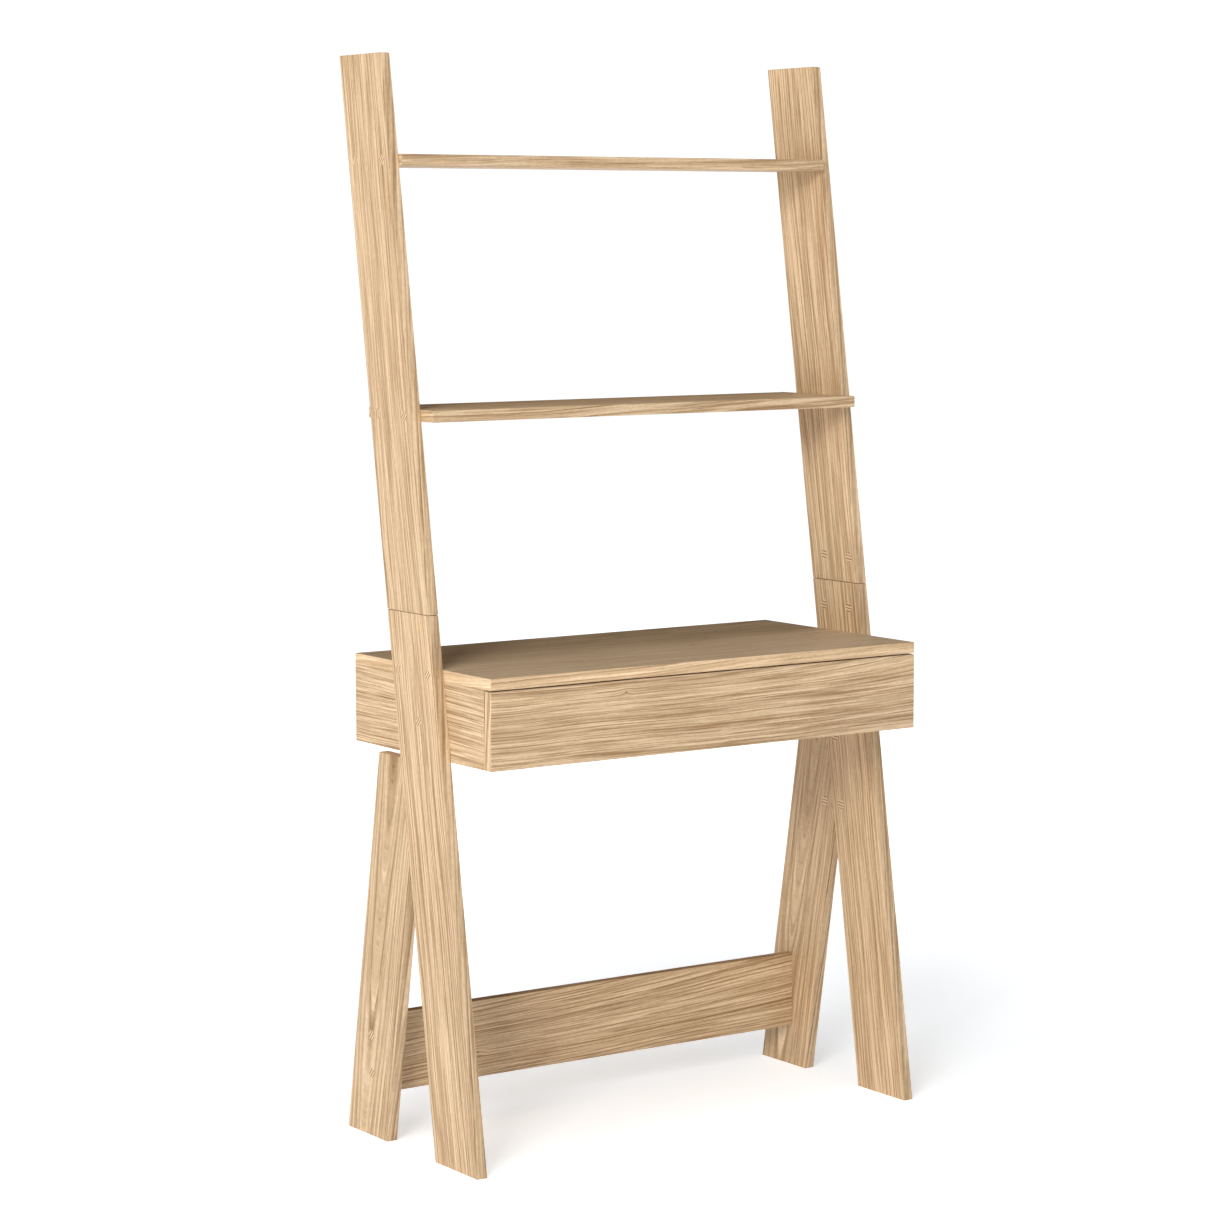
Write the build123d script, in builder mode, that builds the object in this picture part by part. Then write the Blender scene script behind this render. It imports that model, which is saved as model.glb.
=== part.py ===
"""Ladder desk: two raking side frames carry two shelves, a stretcher and a desk box with a drawer.

Units are millimetres. X is the width, Y the depth (the front is -Y) and Z is up. The origin is
on the floor, at the centre of the bounding box.
"""
from build123d import *
import math
import os

os.makedirs("parts", exist_ok=True)

# Overall size and boards
WIDTH = 850.0
HEIGHT = 1700.0
DEPTH = 407.0
BOARD = 18.0
BOARD_WIDTH = 120.0
EASE = 0.8

# Side frames
STILE_RAKE = math.tan(math.radians(8.7))
LEG_RAKE = math.tan(math.radians(9.9))
STILE_RUN = BOARD_WIDTH / math.cos(math.radians(8.7))
LEG_RUN = BOARD_WIDTH / math.cos(math.radians(9.9))
SPLICE_Z = 848.0
LEG_TOP_Z = 621.0

# Planes along X and Y that several pieces share
OUTER_X = WIDTH / 2
INNER_X = OUTER_X - BOARD
BOX_INNER_X = INNER_X - BOARD
FRONT_Y = -DEPTH / 2
BOX_FRONT_Y = FRONT_Y + BOARD
FOOT_FRONT_Y = BOX_FRONT_Y
FOOT_BACK_Y = DEPTH / 2
BOX_BACK_Y = FRONT_Y + 401.0

# Desk box
DESK_TOP_Z = 765.0
DESK_UNDER_Z = DESK_TOP_Z - BOARD
BOX_BOTTOM_Z = 625.0
FRONT_GAP = 2.0
SIDE_GAP = 1.0

# Shelves and stretcher
MIDDLE_SHELF_Z = 1158.0
MIDDLE_SHELF_DEPTH = 192.0
TOP_SHELF_Z = 1546.0
TOP_SHELF_DEPTH = 140.0
STRETCHER_BOTTOM_Z = 69.5
STRETCHER_HEIGHT = 126.0
STRETCHER_FRONT_Y = FOOT_FRONT_Y + 304.0

# Drawer
DRAWER_BOARD = 16.0
DRAWER_BOTTOM_BOARD = 3.0
RAIL_SPACE = 12.7
DRAWER_OUTER_X = BOX_INNER_X - RAIL_SPACE
DRAWER_INNER_X = DRAWER_OUTER_X - DRAWER_BOARD
DRAWER_LENGTH = 350.0
DRAWER_LOW_Z = 642.0
DRAWER_HIGH_Z = 732.0
PANEL_LOW_Z = 651.0
PANEL_HIGH_Z = PANEL_LOW_Z + DRAWER_BOTTOM_BOARD
GROOVE = 6.0

# Runners
RAIL_Z = 687.0
RAIL_LENGTH = 350.0
RAIL_FRONT_Y = BOX_FRONT_Y + 2.0
CAGE_FRONT_Y = BOX_FRONT_Y + 129.0
CAGE_LENGTH = 94.0
BALL_RADIUS = 2.0
BALL_IN = 6.0
BALL_UP = 14.2
BALL_PITCH = 11.0
BALLS_PER_ROW = 8

# Fittings
CAP_RADIUS = 8.0
CAP_DEPTH = 0.4
SCREW_HEAD_RADIUS = 5.0
SCREW_SHANK_RADIUS = 3.5
SHELF_SCREW_LENGTH = 50.0
BOX_SCREW_LENGTH = 30.0
CAM_RADIUS = 7.5
CAM_BORE = 14.0
CAM_HEIGHT = 13.4
CAM_AXIS_DEPTH = 9.0
BOLT_RADIUS = 3.5
BOLT_NECK_RADIUS = 2.3
BOLT_THREAD_RADIUS = 2.5
BOLT_THREAD_LENGTH = 11.0
BOLT_PAST_CAM = 3.0
DOWEL_RADIUS = 4.0
DOWEL_LENGTH = 30.0
SPLICE_CAM_OFFSET = 42.0
SPLICE_BOLT_SPREAD = 33.0
LEG_CAM_OFFSET = 22.0
LEG_BOLT_HEIGHTS = (472.5, 585.0)
LEG_DOWEL_Z = 530.0
EDGE_CAM_OFFSET = 34.0
SIDES = (-1, 1)


def stile_front(z):
    """Front edge of a stile at height z."""
    return FOOT_FRONT_Y + STILE_RAKE * z


def stile_back(z):
    """Rear edge of a stile at height z."""
    return stile_front(z) + STILE_RUN


def leg_back(z):
    """Rear edge of a rear leg at height z."""
    return FOOT_BACK_Y - LEG_RAKE * z


def leg_front(z):
    """Front edge of a rear leg at height z, below the stile."""
    return leg_back(z) - LEG_RUN


CROTCH_Z = (leg_front(0) - stile_back(0)) / (STILE_RAKE + LEG_RAKE)
SPLICE_Y = stile_front(SPLICE_Z) + STILE_RUN / 2 - 3.5
MIDDLE_SHELF_Y = stile_front(MIDDLE_SHELF_Z - BOARD / 2) + STILE_RUN / 2
TOP_SHELF_Y = stile_front(TOP_SHELF_Z - BOARD / 2) + STILE_RUN / 2
STRETCHER_Z = STRETCHER_BOTTOM_Z + STRETCHER_HEIGHT / 2
STRETCHER_Y = STRETCHER_FRONT_Y + BOARD / 2
BOARD_MID_X = OUTER_X - BOARD / 2
BOX_SIDE_MID_X = INNER_X - BOARD / 2
BACK_FRONT_Y = BOX_BACK_Y - BOARD
MIN_ALONG = (Align.CENTER, Align.CENTER, Align.MIN)

# Screw axes, as (y, z), for the screws that enter from the outer face of a side frame
TOP_SHELF_SCREWS = [
    (TOP_SHELF_Y - 39.0, TOP_SHELF_Z - BOARD / 2),
    (TOP_SHELF_Y + 39.0, TOP_SHELF_Z - BOARD / 2),
]
MIDDLE_SHELF_SCREWS = [
    (MIDDLE_SHELF_Y - 40.0, MIDDLE_SHELF_Z - BOARD / 2),
    (MIDDLE_SHELF_Y + 40.0, MIDDLE_SHELF_Z - BOARD / 2),
]
DESK_SCREWS = [(-53.0, DESK_TOP_Z - BOARD / 2), (35.0, DESK_TOP_Z - BOARD / 2)]
STRETCHER_SCREWS = [(STRETCHER_Y, STRETCHER_Z - 31.0), (STRETCHER_Y, STRETCHER_Z + 31.0)]
BOX_SCREWS = [(-24.5, 682.0)]
DESK_DOWELS_Y = (BOX_FRONT_Y + 92.0, BOX_FRONT_Y + 280.0)
DESK_BOLTS_Y = (BOX_FRONT_Y + 50.0, BOX_FRONT_Y + 320.0)
BACK_BOLTS_Z = (658.0, 714.0)
BACK_DOWELS_X = (-150.0, 150.0)
FRONT_BOLTS_Z = (668.0, 712.0)
FRONT_DOWEL_Z = 690.0
RAIL_SCREWS_Y = (BOX_FRONT_Y + 37.0, BOX_FRONT_Y + 245.0, BOX_FRONT_Y + 325.0)
BACK_SCREWS_Z = (666.0, 716.0)
PANEL_SCREWS_X = (-240.0, 0.0, 240.0)


def axis(origin, direction):
    """A plane whose normal is the given direction, used to place round features."""
    return Plane(origin=origin, z_dir=direction)


def add_cylinder(origin, direction, radius, length, mode):
    """A cylinder that starts at origin and runs along direction."""
    with Locations(axis(origin, direction)):
        Cylinder(radius, length, align=MIN_ALONG, mode=mode)


def add_screw(origin, direction, length, mode):
    """A flat-headed connector screw, with its head's face at origin."""
    add_cylinder(origin, direction, SCREW_SHANK_RADIUS, length, mode)
    add_cylinder(origin, direction, SCREW_HEAD_RADIUS, 1.4, mode)
    start = Vector(*origin) + Vector(*direction) * 1.4
    with Locations(axis(start, direction)):
        Cone(SCREW_HEAD_RADIUS, SCREW_SHANK_RADIUS, 1.6, align=MIN_ALONG, mode=mode)


def add_wood_screw(origin, direction, length, radius, mode):
    """A countersunk wood screw, with its head's face at origin."""
    add_cylinder(origin, direction, radius, length, mode)
    with Locations(axis(origin, direction)):
        Cone(radius * 2, radius, radius, align=MIN_ALONG, mode=mode)


def screw_start(side, y, z):
    """Head position of a side-frame screw, just under its cap."""
    return (side * (OUTER_X - CAP_DEPTH), y, z)


def add_frame_screws(side, screws, length, mode):
    """Connector screws that run inwards from the outer face of one side frame."""
    for y, z in screws:
        add_screw(screw_start(side, y, z), (-side, 0, 0), length, mode)


def cap_recesses(side, points, face_x):
    """Shallow round recesses for cover caps, in the face at face_x."""
    for y, z in points:
        add_cylinder((side * face_x, y, z), (-side, 0, 0), CAP_RADIUS, CAP_DEPTH, Mode.SUBTRACT)


def cam_bores(side, points, recessed):
    """Blind cam bores in the inner face of a side-frame board."""
    for y, z in points:
        add_cylinder((side * INNER_X, y, z), (side, 0, 0), CAM_RADIUS, CAM_BORE, Mode.SUBTRACT)
        if recessed:
            add_cylinder((side * INNER_X, y, z), (side, 0, 0), CAP_RADIUS, CAP_DEPTH, Mode.SUBTRACT)


def seam_y(z):
    """The line where a rear leg meets the stile in front of it."""
    return stile_back(z)


UPPER_CAMS = [(SPLICE_Y + k * SPLICE_BOLT_SPREAD, SPLICE_Z + SPLICE_CAM_OFFSET) for k in SIDES]
LOWER_CAMS = [(SPLICE_Y + k * SPLICE_BOLT_SPREAD, SPLICE_Z - SPLICE_CAM_OFFSET) for k in SIDES]
STILE_CAMS = [(seam_y(z) - LEG_CAM_OFFSET, z) for z in LEG_BOLT_HEIGHTS]
LEG_CAMS = [(seam_y(z) + LEG_CAM_OFFSET, z) for z in LEG_BOLT_HEIGHTS]


def splice_bolts(side, mode):
    """Double-ended bolts that draw the two lengths of a stile together."""
    low = SPLICE_Z - SPLICE_CAM_OFFSET - BOLT_PAST_CAM
    for k in SIDES:
        start = (side * BOARD_MID_X, SPLICE_Y + k * SPLICE_BOLT_SPREAD, low)
        add_cylinder(start, (0, 0, 1), BOLT_RADIUS, 2 * (SPLICE_CAM_OFFSET + BOLT_PAST_CAM), mode)


def leg_bolts(side, mode):
    """Double-ended bolts that draw a rear leg against the stile."""
    for z in LEG_BOLT_HEIGHTS:
        start = (side * BOARD_MID_X, seam_y(z) - LEG_CAM_OFFSET - BOLT_PAST_CAM, z)
        add_cylinder(start, (0, 1, 0), BOLT_RADIUS, 2 * (LEG_CAM_OFFSET + BOLT_PAST_CAM), mode)


def splice_dowel(side, mode):
    """The dowel in the middle of a stile's splice."""
    start = (side * BOARD_MID_X, SPLICE_Y, SPLICE_Z - DOWEL_LENGTH / 2)
    add_cylinder(start, (0, 0, 1), DOWEL_RADIUS, DOWEL_LENGTH, mode)


def leg_dowel(side, mode):
    """The dowel between a rear leg and its stile."""
    start = (side * BOARD_MID_X, seam_y(LEG_DOWEL_Z) - DOWEL_LENGTH / 2, LEG_DOWEL_Z)
    add_cylinder(start, (0, 1, 0), DOWEL_RADIUS, DOWEL_LENGTH, mode)


def edge_bolt(joint, direction, mode):
    """A cam bolt: its thread runs past the joint along direction, its head lies behind it."""
    back = Vector(*joint) - Vector(*direction) * (EDGE_CAM_OFFSET + BOLT_PAST_CAM)
    add_cylinder(tuple(back), direction, BOLT_RADIUS, EDGE_CAM_OFFSET + BOLT_PAST_CAM, mode)
    add_cylinder(joint, direction, BOLT_THREAD_RADIUS, BOLT_THREAD_LENGTH, mode)


def add_cams(places, mode):
    """Cam bodies: each place is (face point, inward direction, direction towards the joint)."""
    for face, inward, towards in places:
        start = Vector(*face) + Vector(*inward) * (CAM_BORE - CAM_HEIGHT)
        add_cylinder(tuple(start), inward, CAM_RADIUS, CAM_HEIGHT, mode)


def cut_cams(places):
    """The bolt channel and the cross slot of each cam."""
    for face, inward, towards in places:
        middle = Vector(*face) + Vector(*inward) * CAM_AXIS_DEPTH
        back = middle - Vector(*towards) * (BOLT_PAST_CAM + 0.5)
        add_cylinder(tuple(back), towards, BOLT_RADIUS + 0.3, CAM_RADIUS + 6.0, Mode.SUBTRACT)
        top = Vector(*face) + Vector(*inward) * (CAM_BORE - CAM_HEIGHT)
        with Locations(axis(top, inward)):
            Box(8.0, 1.6, 2.2, align=MIN_ALONG, mode=Mode.SUBTRACT)
            Box(1.6, 8.0, 2.2, align=MIN_ALONG, mode=Mode.SUBTRACT)


def cut_neck(origin, direction, length):
    """Turns a narrow neck into a bolt that the builder already holds."""
    with Locations(axis(origin, direction)):
        Cylinder(BOLT_RADIUS + 1.0, length, align=MIN_ALONG, mode=Mode.SUBTRACT)
        Cylinder(BOLT_NECK_RADIUS, length, align=MIN_ALONG)


def side_board(side, outline):
    """A side-frame board from its outline in Y and Z."""
    low = OUTER_X - BOARD if side > 0 else -OUTER_X
    with BuildSketch(Plane.YZ.offset(low)) as face:
        with BuildLine():
            Polyline(*outline, close=True)
        make_face()
    extrude(face.sketch, amount=BOARD)


def panel(low, high):
    """A rectangular board between two corners."""
    size = [b - a for a, b in zip(low, high)]
    with Locations(low):
        Box(*size, align=(Align.MIN, Align.MIN, Align.MIN))


def save(part, name):
    """Labels a finished piece and writes its file."""
    part.label = name
    export_step(part, f"parts/{name}.step")


UPPER_OUTLINE = [
    (stile_front(SPLICE_Z), SPLICE_Z),
    (stile_back(SPLICE_Z), SPLICE_Z),
    (stile_back(HEIGHT), HEIGHT),
    (stile_front(HEIGHT), HEIGHT),
]
LOWER_OUTLINE = [
    (stile_front(0), 0),
    (stile_back(0), 0),
    (stile_back(SPLICE_Z), SPLICE_Z),
    (stile_front(SPLICE_Z), SPLICE_Z),
]
LEG_OUTLINE = [
    (leg_front(0), 0),
    (leg_back(0), 0),
    (leg_back(LEG_TOP_Z), LEG_TOP_Z),
    (stile_back(LEG_TOP_Z), LEG_TOP_Z),
    (stile_back(CROTCH_Z), CROTCH_Z),
]

# Side frames
for side, word in ((-1, "left"), (1, "right")):
    with BuildPart() as upper_stile:
        side_board(side, UPPER_OUTLINE)
        fillet(upper_stile.edges(), EASE)
        cap_recesses(side, TOP_SHELF_SCREWS + MIDDLE_SHELF_SCREWS, OUTER_X)
        add_frame_screws(side, TOP_SHELF_SCREWS + MIDDLE_SHELF_SCREWS, SHELF_SCREW_LENGTH, Mode.SUBTRACT)
        cam_bores(side, UPPER_CAMS, True)
        splice_bolts(side, Mode.SUBTRACT)
        splice_dowel(side, Mode.SUBTRACT)
    save(upper_stile.part, f"{word}_upper_stile")

    with BuildPart() as lower_stile:
        side_board(side, LOWER_OUTLINE)
        fillet(lower_stile.edges(), EASE)
        cap_recesses(side, DESK_SCREWS + BOX_SCREWS, OUTER_X)
        add_frame_screws(side, DESK_SCREWS, SHELF_SCREW_LENGTH, Mode.SUBTRACT)
        add_frame_screws(side, BOX_SCREWS, BOX_SCREW_LENGTH, Mode.SUBTRACT)
        cam_bores(side, LOWER_CAMS + STILE_CAMS, True)
        splice_bolts(side, Mode.SUBTRACT)
        splice_dowel(side, Mode.SUBTRACT)
        leg_bolts(side, Mode.SUBTRACT)
        leg_dowel(side, Mode.SUBTRACT)
    save(lower_stile.part, f"{word}_lower_stile")

    with BuildPart() as rear_leg:
        side_board(side, LEG_OUTLINE)
        fillet(rear_leg.edges(), EASE)
        cap_recesses(side, STRETCHER_SCREWS, OUTER_X)
        add_frame_screws(side, STRETCHER_SCREWS, SHELF_SCREW_LENGTH, Mode.SUBTRACT)
        cam_bores(side, LEG_CAMS, True)
        leg_bolts(side, Mode.SUBTRACT)
        leg_dowel(side, Mode.SUBTRACT)
    save(rear_leg.part, f"{word}_rear_leg")

# Shelves and stretcher
with BuildPart() as top_shelf:
    panel(
        (-INNER_X, TOP_SHELF_Y - TOP_SHELF_DEPTH / 2, TOP_SHELF_Z - BOARD),
        (INNER_X, TOP_SHELF_Y + TOP_SHELF_DEPTH / 2, TOP_SHELF_Z),
    )
    fillet(top_shelf.edges(), EASE)
    for side in SIDES:
        add_frame_screws(side, TOP_SHELF_SCREWS, SHELF_SCREW_LENGTH, Mode.SUBTRACT)
save(top_shelf.part, "top_shelf")

with BuildPart() as middle_shelf:
    panel(
        (-INNER_X, MIDDLE_SHELF_Y - MIDDLE_SHELF_DEPTH / 2, MIDDLE_SHELF_Z - BOARD),
        (INNER_X, MIDDLE_SHELF_Y + MIDDLE_SHELF_DEPTH / 2, MIDDLE_SHELF_Z),
    )
    fillet(middle_shelf.edges(), EASE)
    for side in SIDES:
        add_frame_screws(side, MIDDLE_SHELF_SCREWS, SHELF_SCREW_LENGTH, Mode.SUBTRACT)
save(middle_shelf.part, "middle_shelf")

with BuildPart() as stretcher:
    panel(
        (-INNER_X, STRETCHER_FRONT_Y, STRETCHER_BOTTOM_Z),
        (INNER_X, STRETCHER_FRONT_Y + BOARD, STRETCHER_BOTTOM_Z + STRETCHER_HEIGHT),
    )
    fillet(stretcher.edges(), EASE)
    for side in SIDES:
        add_frame_screws(side, STRETCHER_SCREWS, SHELF_SCREW_LENGTH, Mode.SUBTRACT)
save(stretcher.part, "stretcher")


# Desk box
def desk_bolts(side, mode):
    """Cam bolts that hold the desk top down on one side panel."""
    for y in DESK_BOLTS_Y:
        edge_bolt((side * BOX_SIDE_MID_X, y, DESK_UNDER_Z), (0, 0, 1), mode)


def desk_dowels(side, mode):
    """Dowels between the desk top and one side panel."""
    for y in DESK_DOWELS_Y:
        start = (side * BOX_SIDE_MID_X, y, DESK_UNDER_Z - 18.0)
        add_cylinder(start, (0, 0, 1), DOWEL_RADIUS, DOWEL_LENGTH, mode)


def back_bolts(side, mode):
    """Cam bolts that hold the back panel against one side panel."""
    for z in BACK_BOLTS_Z:
        edge_bolt((side * BOX_INNER_X, BACK_FRONT_Y + CAM_AXIS_DEPTH, z), (side, 0, 0), mode)


def back_dowels(mode):
    """Dowels between the desk top and the back panel."""
    for x in BACK_DOWELS_X:
        start = (x, BACK_FRONT_Y + CAM_AXIS_DEPTH, DESK_UNDER_Z - 18.0)
        add_cylinder(start, (0, 0, 1), DOWEL_RADIUS, DOWEL_LENGTH, mode)


def outer_rail_screws(side, mode):
    """Wood screws that hold a runner's fixed rail on its side panel."""
    for y in RAIL_SCREWS_Y:
        start = (side * (BOX_INNER_X - 1.2), y, RAIL_Z)
        add_wood_screw(start, (side, 0, 0), 14.0, 1.75, mode)


def inner_rail_screws(side, mode):
    """Wood screws that hold a runner's moving rail on its drawer side."""
    for y in RAIL_SCREWS_Y:
        start = (side * (DRAWER_OUTER_X + 1.2), y, RAIL_Z)
        add_wood_screw(start, (-side, 0, 0), 14.0, 1.75, mode)


with BuildPart() as desk_top:
    panel((-INNER_X, FRONT_Y, DESK_UNDER_Z), (INNER_X, BOX_BACK_Y, DESK_TOP_Z))
    fillet(desk_top.edges(), EASE)
    for side in SIDES:
        add_frame_screws(side, DESK_SCREWS, SHELF_SCREW_LENGTH, Mode.SUBTRACT)
        desk_bolts(side, Mode.SUBTRACT)
        desk_dowels(side, Mode.SUBTRACT)
    back_dowels(Mode.SUBTRACT)
save(desk_top.part, "desk_top")

for side, word in ((-1, "left"), (1, "right")):
    with BuildPart() as desk_side:
        panel(
            (min(side * INNER_X, side * BOX_INNER_X), BOX_FRONT_Y + SIDE_GAP, BOX_BOTTOM_Z),
            (max(side * INNER_X, side * BOX_INNER_X), BOX_BACK_Y, DESK_UNDER_Z),
        )
        fillet(desk_side.edges(), EASE)
        add_frame_screws(side, BOX_SCREWS, BOX_SCREW_LENGTH, Mode.SUBTRACT)
        for y in DESK_BOLTS_Y:
            start = (side * BOX_INNER_X, y, DESK_UNDER_Z - EDGE_CAM_OFFSET)
            add_cylinder(start, (side, 0, 0), CAM_RADIUS, CAM_BORE, Mode.SUBTRACT)
        desk_bolts(side, Mode.SUBTRACT)
        desk_dowels(side, Mode.SUBTRACT)
        back_bolts(side, Mode.SUBTRACT)
        outer_rail_screws(side, Mode.SUBTRACT)
    save(desk_side.part, f"desk_{word}_side")

with BuildPart() as desk_back:
    panel((-BOX_INNER_X, BACK_FRONT_Y, BOX_BOTTOM_Z), (BOX_INNER_X, BOX_BACK_Y, DESK_UNDER_Z))
    fillet(desk_back.edges(), EASE)
    for side in SIDES:
        for z in BACK_BOLTS_Z:
            start = (side * (BOX_INNER_X - EDGE_CAM_OFFSET), BACK_FRONT_Y, z)
            add_cylinder(start, (0, 1, 0), CAM_RADIUS, CAM_BORE, Mode.SUBTRACT)
        back_bolts(side, Mode.SUBTRACT)
    back_dowels(Mode.SUBTRACT)
save(desk_back.part, "desk_back")

# Fittings of the fixed frame
CAM_PLACES = []
for side in SIDES:
    for y, z in UPPER_CAMS:
        CAM_PLACES.append(((side * INNER_X, y, z), (side, 0, 0), (0, 0, -1)))
    for y, z in LOWER_CAMS:
        CAM_PLACES.append(((side * INNER_X, y, z), (side, 0, 0), (0, 0, 1)))
    for y, z in STILE_CAMS:
        CAM_PLACES.append(((side * INNER_X, y, z), (side, 0, 0), (0, 1, 0)))
    for y, z in LEG_CAMS:
        CAM_PLACES.append(((side * INNER_X, y, z), (side, 0, 0), (0, -1, 0)))
    for y in DESK_BOLTS_Y:
        face = (side * BOX_INNER_X, y, DESK_UNDER_Z - EDGE_CAM_OFFSET)
        CAM_PLACES.append((face, (side, 0, 0), (0, 0, 1)))
    for z in BACK_BOLTS_Z:
        face = (side * (BOX_INNER_X - EDGE_CAM_OFFSET), BACK_FRONT_Y, z)
        CAM_PLACES.append((face, (0, 1, 0), (side, 0, 0)))

with BuildPart() as cam_locks:
    add_cams(CAM_PLACES, Mode.ADD)
    cut_cams(CAM_PLACES)
save(cam_locks.part, "cam_locks")

with BuildPart() as double_cam_bolts:
    for side in SIDES:
        splice_bolts(side, Mode.ADD)
        leg_bolts(side, Mode.ADD)
    for side in SIDES:
        for y, z in UPPER_CAMS:
            cut_neck((side * BOARD_MID_X, y, z - 4.0), (0, 0, 1), 4.0)
        for y, z in LOWER_CAMS:
            cut_neck((side * BOARD_MID_X, y, z), (0, 0, 1), 4.0)
        for y, z in STILE_CAMS:
            cut_neck((side * BOARD_MID_X, y, z), (0, 1, 0), 4.0)
        for y, z in LEG_CAMS:
            cut_neck((side * BOARD_MID_X, y - 4.0, z), (0, 1, 0), 4.0)
save(double_cam_bolts.part, "double_cam_bolts")

with BuildPart() as cam_bolts:
    for side in SIDES:
        desk_bolts(side, Mode.ADD)
        back_bolts(side, Mode.ADD)
    for side in SIDES:
        for y in DESK_BOLTS_Y:
            cut_neck((side * BOX_SIDE_MID_X, y, DESK_UNDER_Z - EDGE_CAM_OFFSET), (0, 0, 1), 4.0)
        for z in BACK_BOLTS_Z:
            start = (side * (BOX_INNER_X - EDGE_CAM_OFFSET), BACK_FRONT_Y + CAM_AXIS_DEPTH, z)
            cut_neck(start, (side, 0, 0), 4.0)
save(cam_bolts.part, "cam_bolts")

with BuildPart() as dowels:
    for side in SIDES:
        splice_dowel(side, Mode.ADD)
        leg_dowel(side, Mode.ADD)
        desk_dowels(side, Mode.ADD)
    back_dowels(Mode.ADD)
save(dowels.part, "dowels")

LONG_SCREWS = TOP_SHELF_SCREWS + MIDDLE_SHELF_SCREWS + DESK_SCREWS + STRETCHER_SCREWS


def cut_sockets(screws):
    """Hexagon sockets in the heads of the side-frame screws."""
    for side in SIDES:
        for y, z in screws:
            with BuildSketch(axis(screw_start(side, y, z), (-side, 0, 0))) as socket:
                RegularPolygon(2.3, 6)
            extrude(socket.sketch, amount=2.6, mode=Mode.SUBTRACT)


with BuildPart() as connector_screws:
    for side in SIDES:
        add_frame_screws(side, LONG_SCREWS, SHELF_SCREW_LENGTH, Mode.ADD)
    cut_sockets(LONG_SCREWS)
save(connector_screws.part, "connector_screws")

with BuildPart() as box_screws:
    for side in SIDES:
        add_frame_screws(side, BOX_SCREWS, BOX_SCREW_LENGTH, Mode.ADD)
    cut_sockets(BOX_SCREWS)
save(box_screws.part, "box_screws")

with BuildPart() as screw_caps:
    for side in SIDES:
        for y, z in LONG_SCREWS + BOX_SCREWS:
            add_cylinder((side * OUTER_X, y, z), (-side, 0, 0), CAP_RADIUS, CAP_DEPTH, Mode.ADD)
save(screw_caps.part, "screw_caps")

with BuildPart() as cam_caps:
    for side in SIDES:
        for y, z in UPPER_CAMS + LOWER_CAMS + STILE_CAMS + LEG_CAMS:
            add_cylinder((side * INNER_X, y, z), (side, 0, 0), CAP_RADIUS, CAP_DEPTH, Mode.ADD)
save(cam_caps.part, "cam_caps")

# Runners: sections are drawn as (distance in from the side panel, height about the rail's axis)
OUTER_RAIL = [
    (0, -17.5),
    (9.5, -17.5),
    (9.5, -14.9),
    (8.5, -14.9),
    (8.5, -16.3),
    (1.2, -16.3),
    (1.2, 16.3),
    (8.5, 16.3),
    (8.5, 14.9),
    (9.5, 14.9),
    (9.5, 17.5),
    (0, 17.5),
]
INNER_RAIL = [
    (12.7, -12.1),
    (12.7, 12.1),
    (3.6, 12.1),
    (3.6, 13.2),
    (2.6, 13.2),
    (2.6, 10.9),
    (11.5, 10.9),
    (11.5, -10.9),
    (2.6, -10.9),
    (2.6, -13.2),
    (3.6, -13.2),
    (3.6, -12.1),
]
BALL_CAGE = [
    (1.5, -14.6),
    (9.2, -14.6),
    (9.2, -13.8),
    (2.3, -13.8),
    (2.3, 13.8),
    (9.2, 13.8),
    (9.2, 14.6),
    (1.5, 14.6),
]


def runner_section(side, section, front_y, length):
    """A runner member: its section swept back from front_y."""
    outline = [(side * (BOX_INNER_X - d), RAIL_Z + h) for d, h in section]
    with BuildSketch(Plane(origin=(0, front_y + length, 0), x_dir=(1, 0, 0), z_dir=(0, -1, 0))) as profile:
        with BuildLine():
            Polyline(*outline, close=True)
        make_face()
    extrude(profile.sketch, amount=length)


FIRST_BALL_Y = CAGE_FRONT_Y + CAGE_LENGTH / 2 - (BALLS_PER_ROW - 1) / 2 * BALL_PITCH
BALLS_Y = [FIRST_BALL_Y + n * BALL_PITCH for n in range(BALLS_PER_ROW)]

for side, word in ((-1, "left"), (1, "right")):
    with BuildPart() as outer_rail:
        runner_section(side, OUTER_RAIL, RAIL_FRONT_Y, RAIL_LENGTH)
        outer_rail_screws(side, Mode.SUBTRACT)
    save(outer_rail.part, f"{word}_outer_rail")

    with BuildPart() as inner_rail:
        runner_section(side, INNER_RAIL, BOX_FRONT_Y, RAIL_LENGTH)
        inner_rail_screws(side, Mode.SUBTRACT)
    save(inner_rail.part, f"{word}_inner_rail")

    with BuildPart() as ball_cage:
        runner_section(side, BALL_CAGE, CAGE_FRONT_Y, CAGE_LENGTH)
        for y in BALLS_Y:
            start = (side * (BOX_INNER_X - BALL_IN), y, RAIL_Z - 20.0)
            add_cylinder(start, (0, 0, 1), BALL_RADIUS + 0.05, 40.0, Mode.SUBTRACT)
        for k in SIDES:
            with Locations((side * (BOX_INNER_X - 1.9), CAGE_FRONT_Y + CAGE_LENGTH / 2 + k * 22.0, RAIL_Z)):
                Box(3.0, 34.0, 16.0, mode=Mode.SUBTRACT)
    save(ball_cage.part, f"{word}_ball_cage")

    with BuildPart() as bearing_balls:
        for y in BALLS_Y:
            for k in SIDES:
                with Locations((side * (BOX_INNER_X - BALL_IN), y, RAIL_Z + k * BALL_UP)):
                    Sphere(BALL_RADIUS)
    save(bearing_balls.part, f"{word}_bearing_balls")

with BuildPart() as fixed_rail_screws:
    for side in SIDES:
        outer_rail_screws(side, Mode.ADD)
save(fixed_rail_screws.part, "fixed_rail_screws")

with BuildPart() as moving_rail_screws:
    for side in SIDES:
        inner_rail_screws(side, Mode.ADD)
save(moving_rail_screws.part, "moving_rail_screws")

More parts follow.
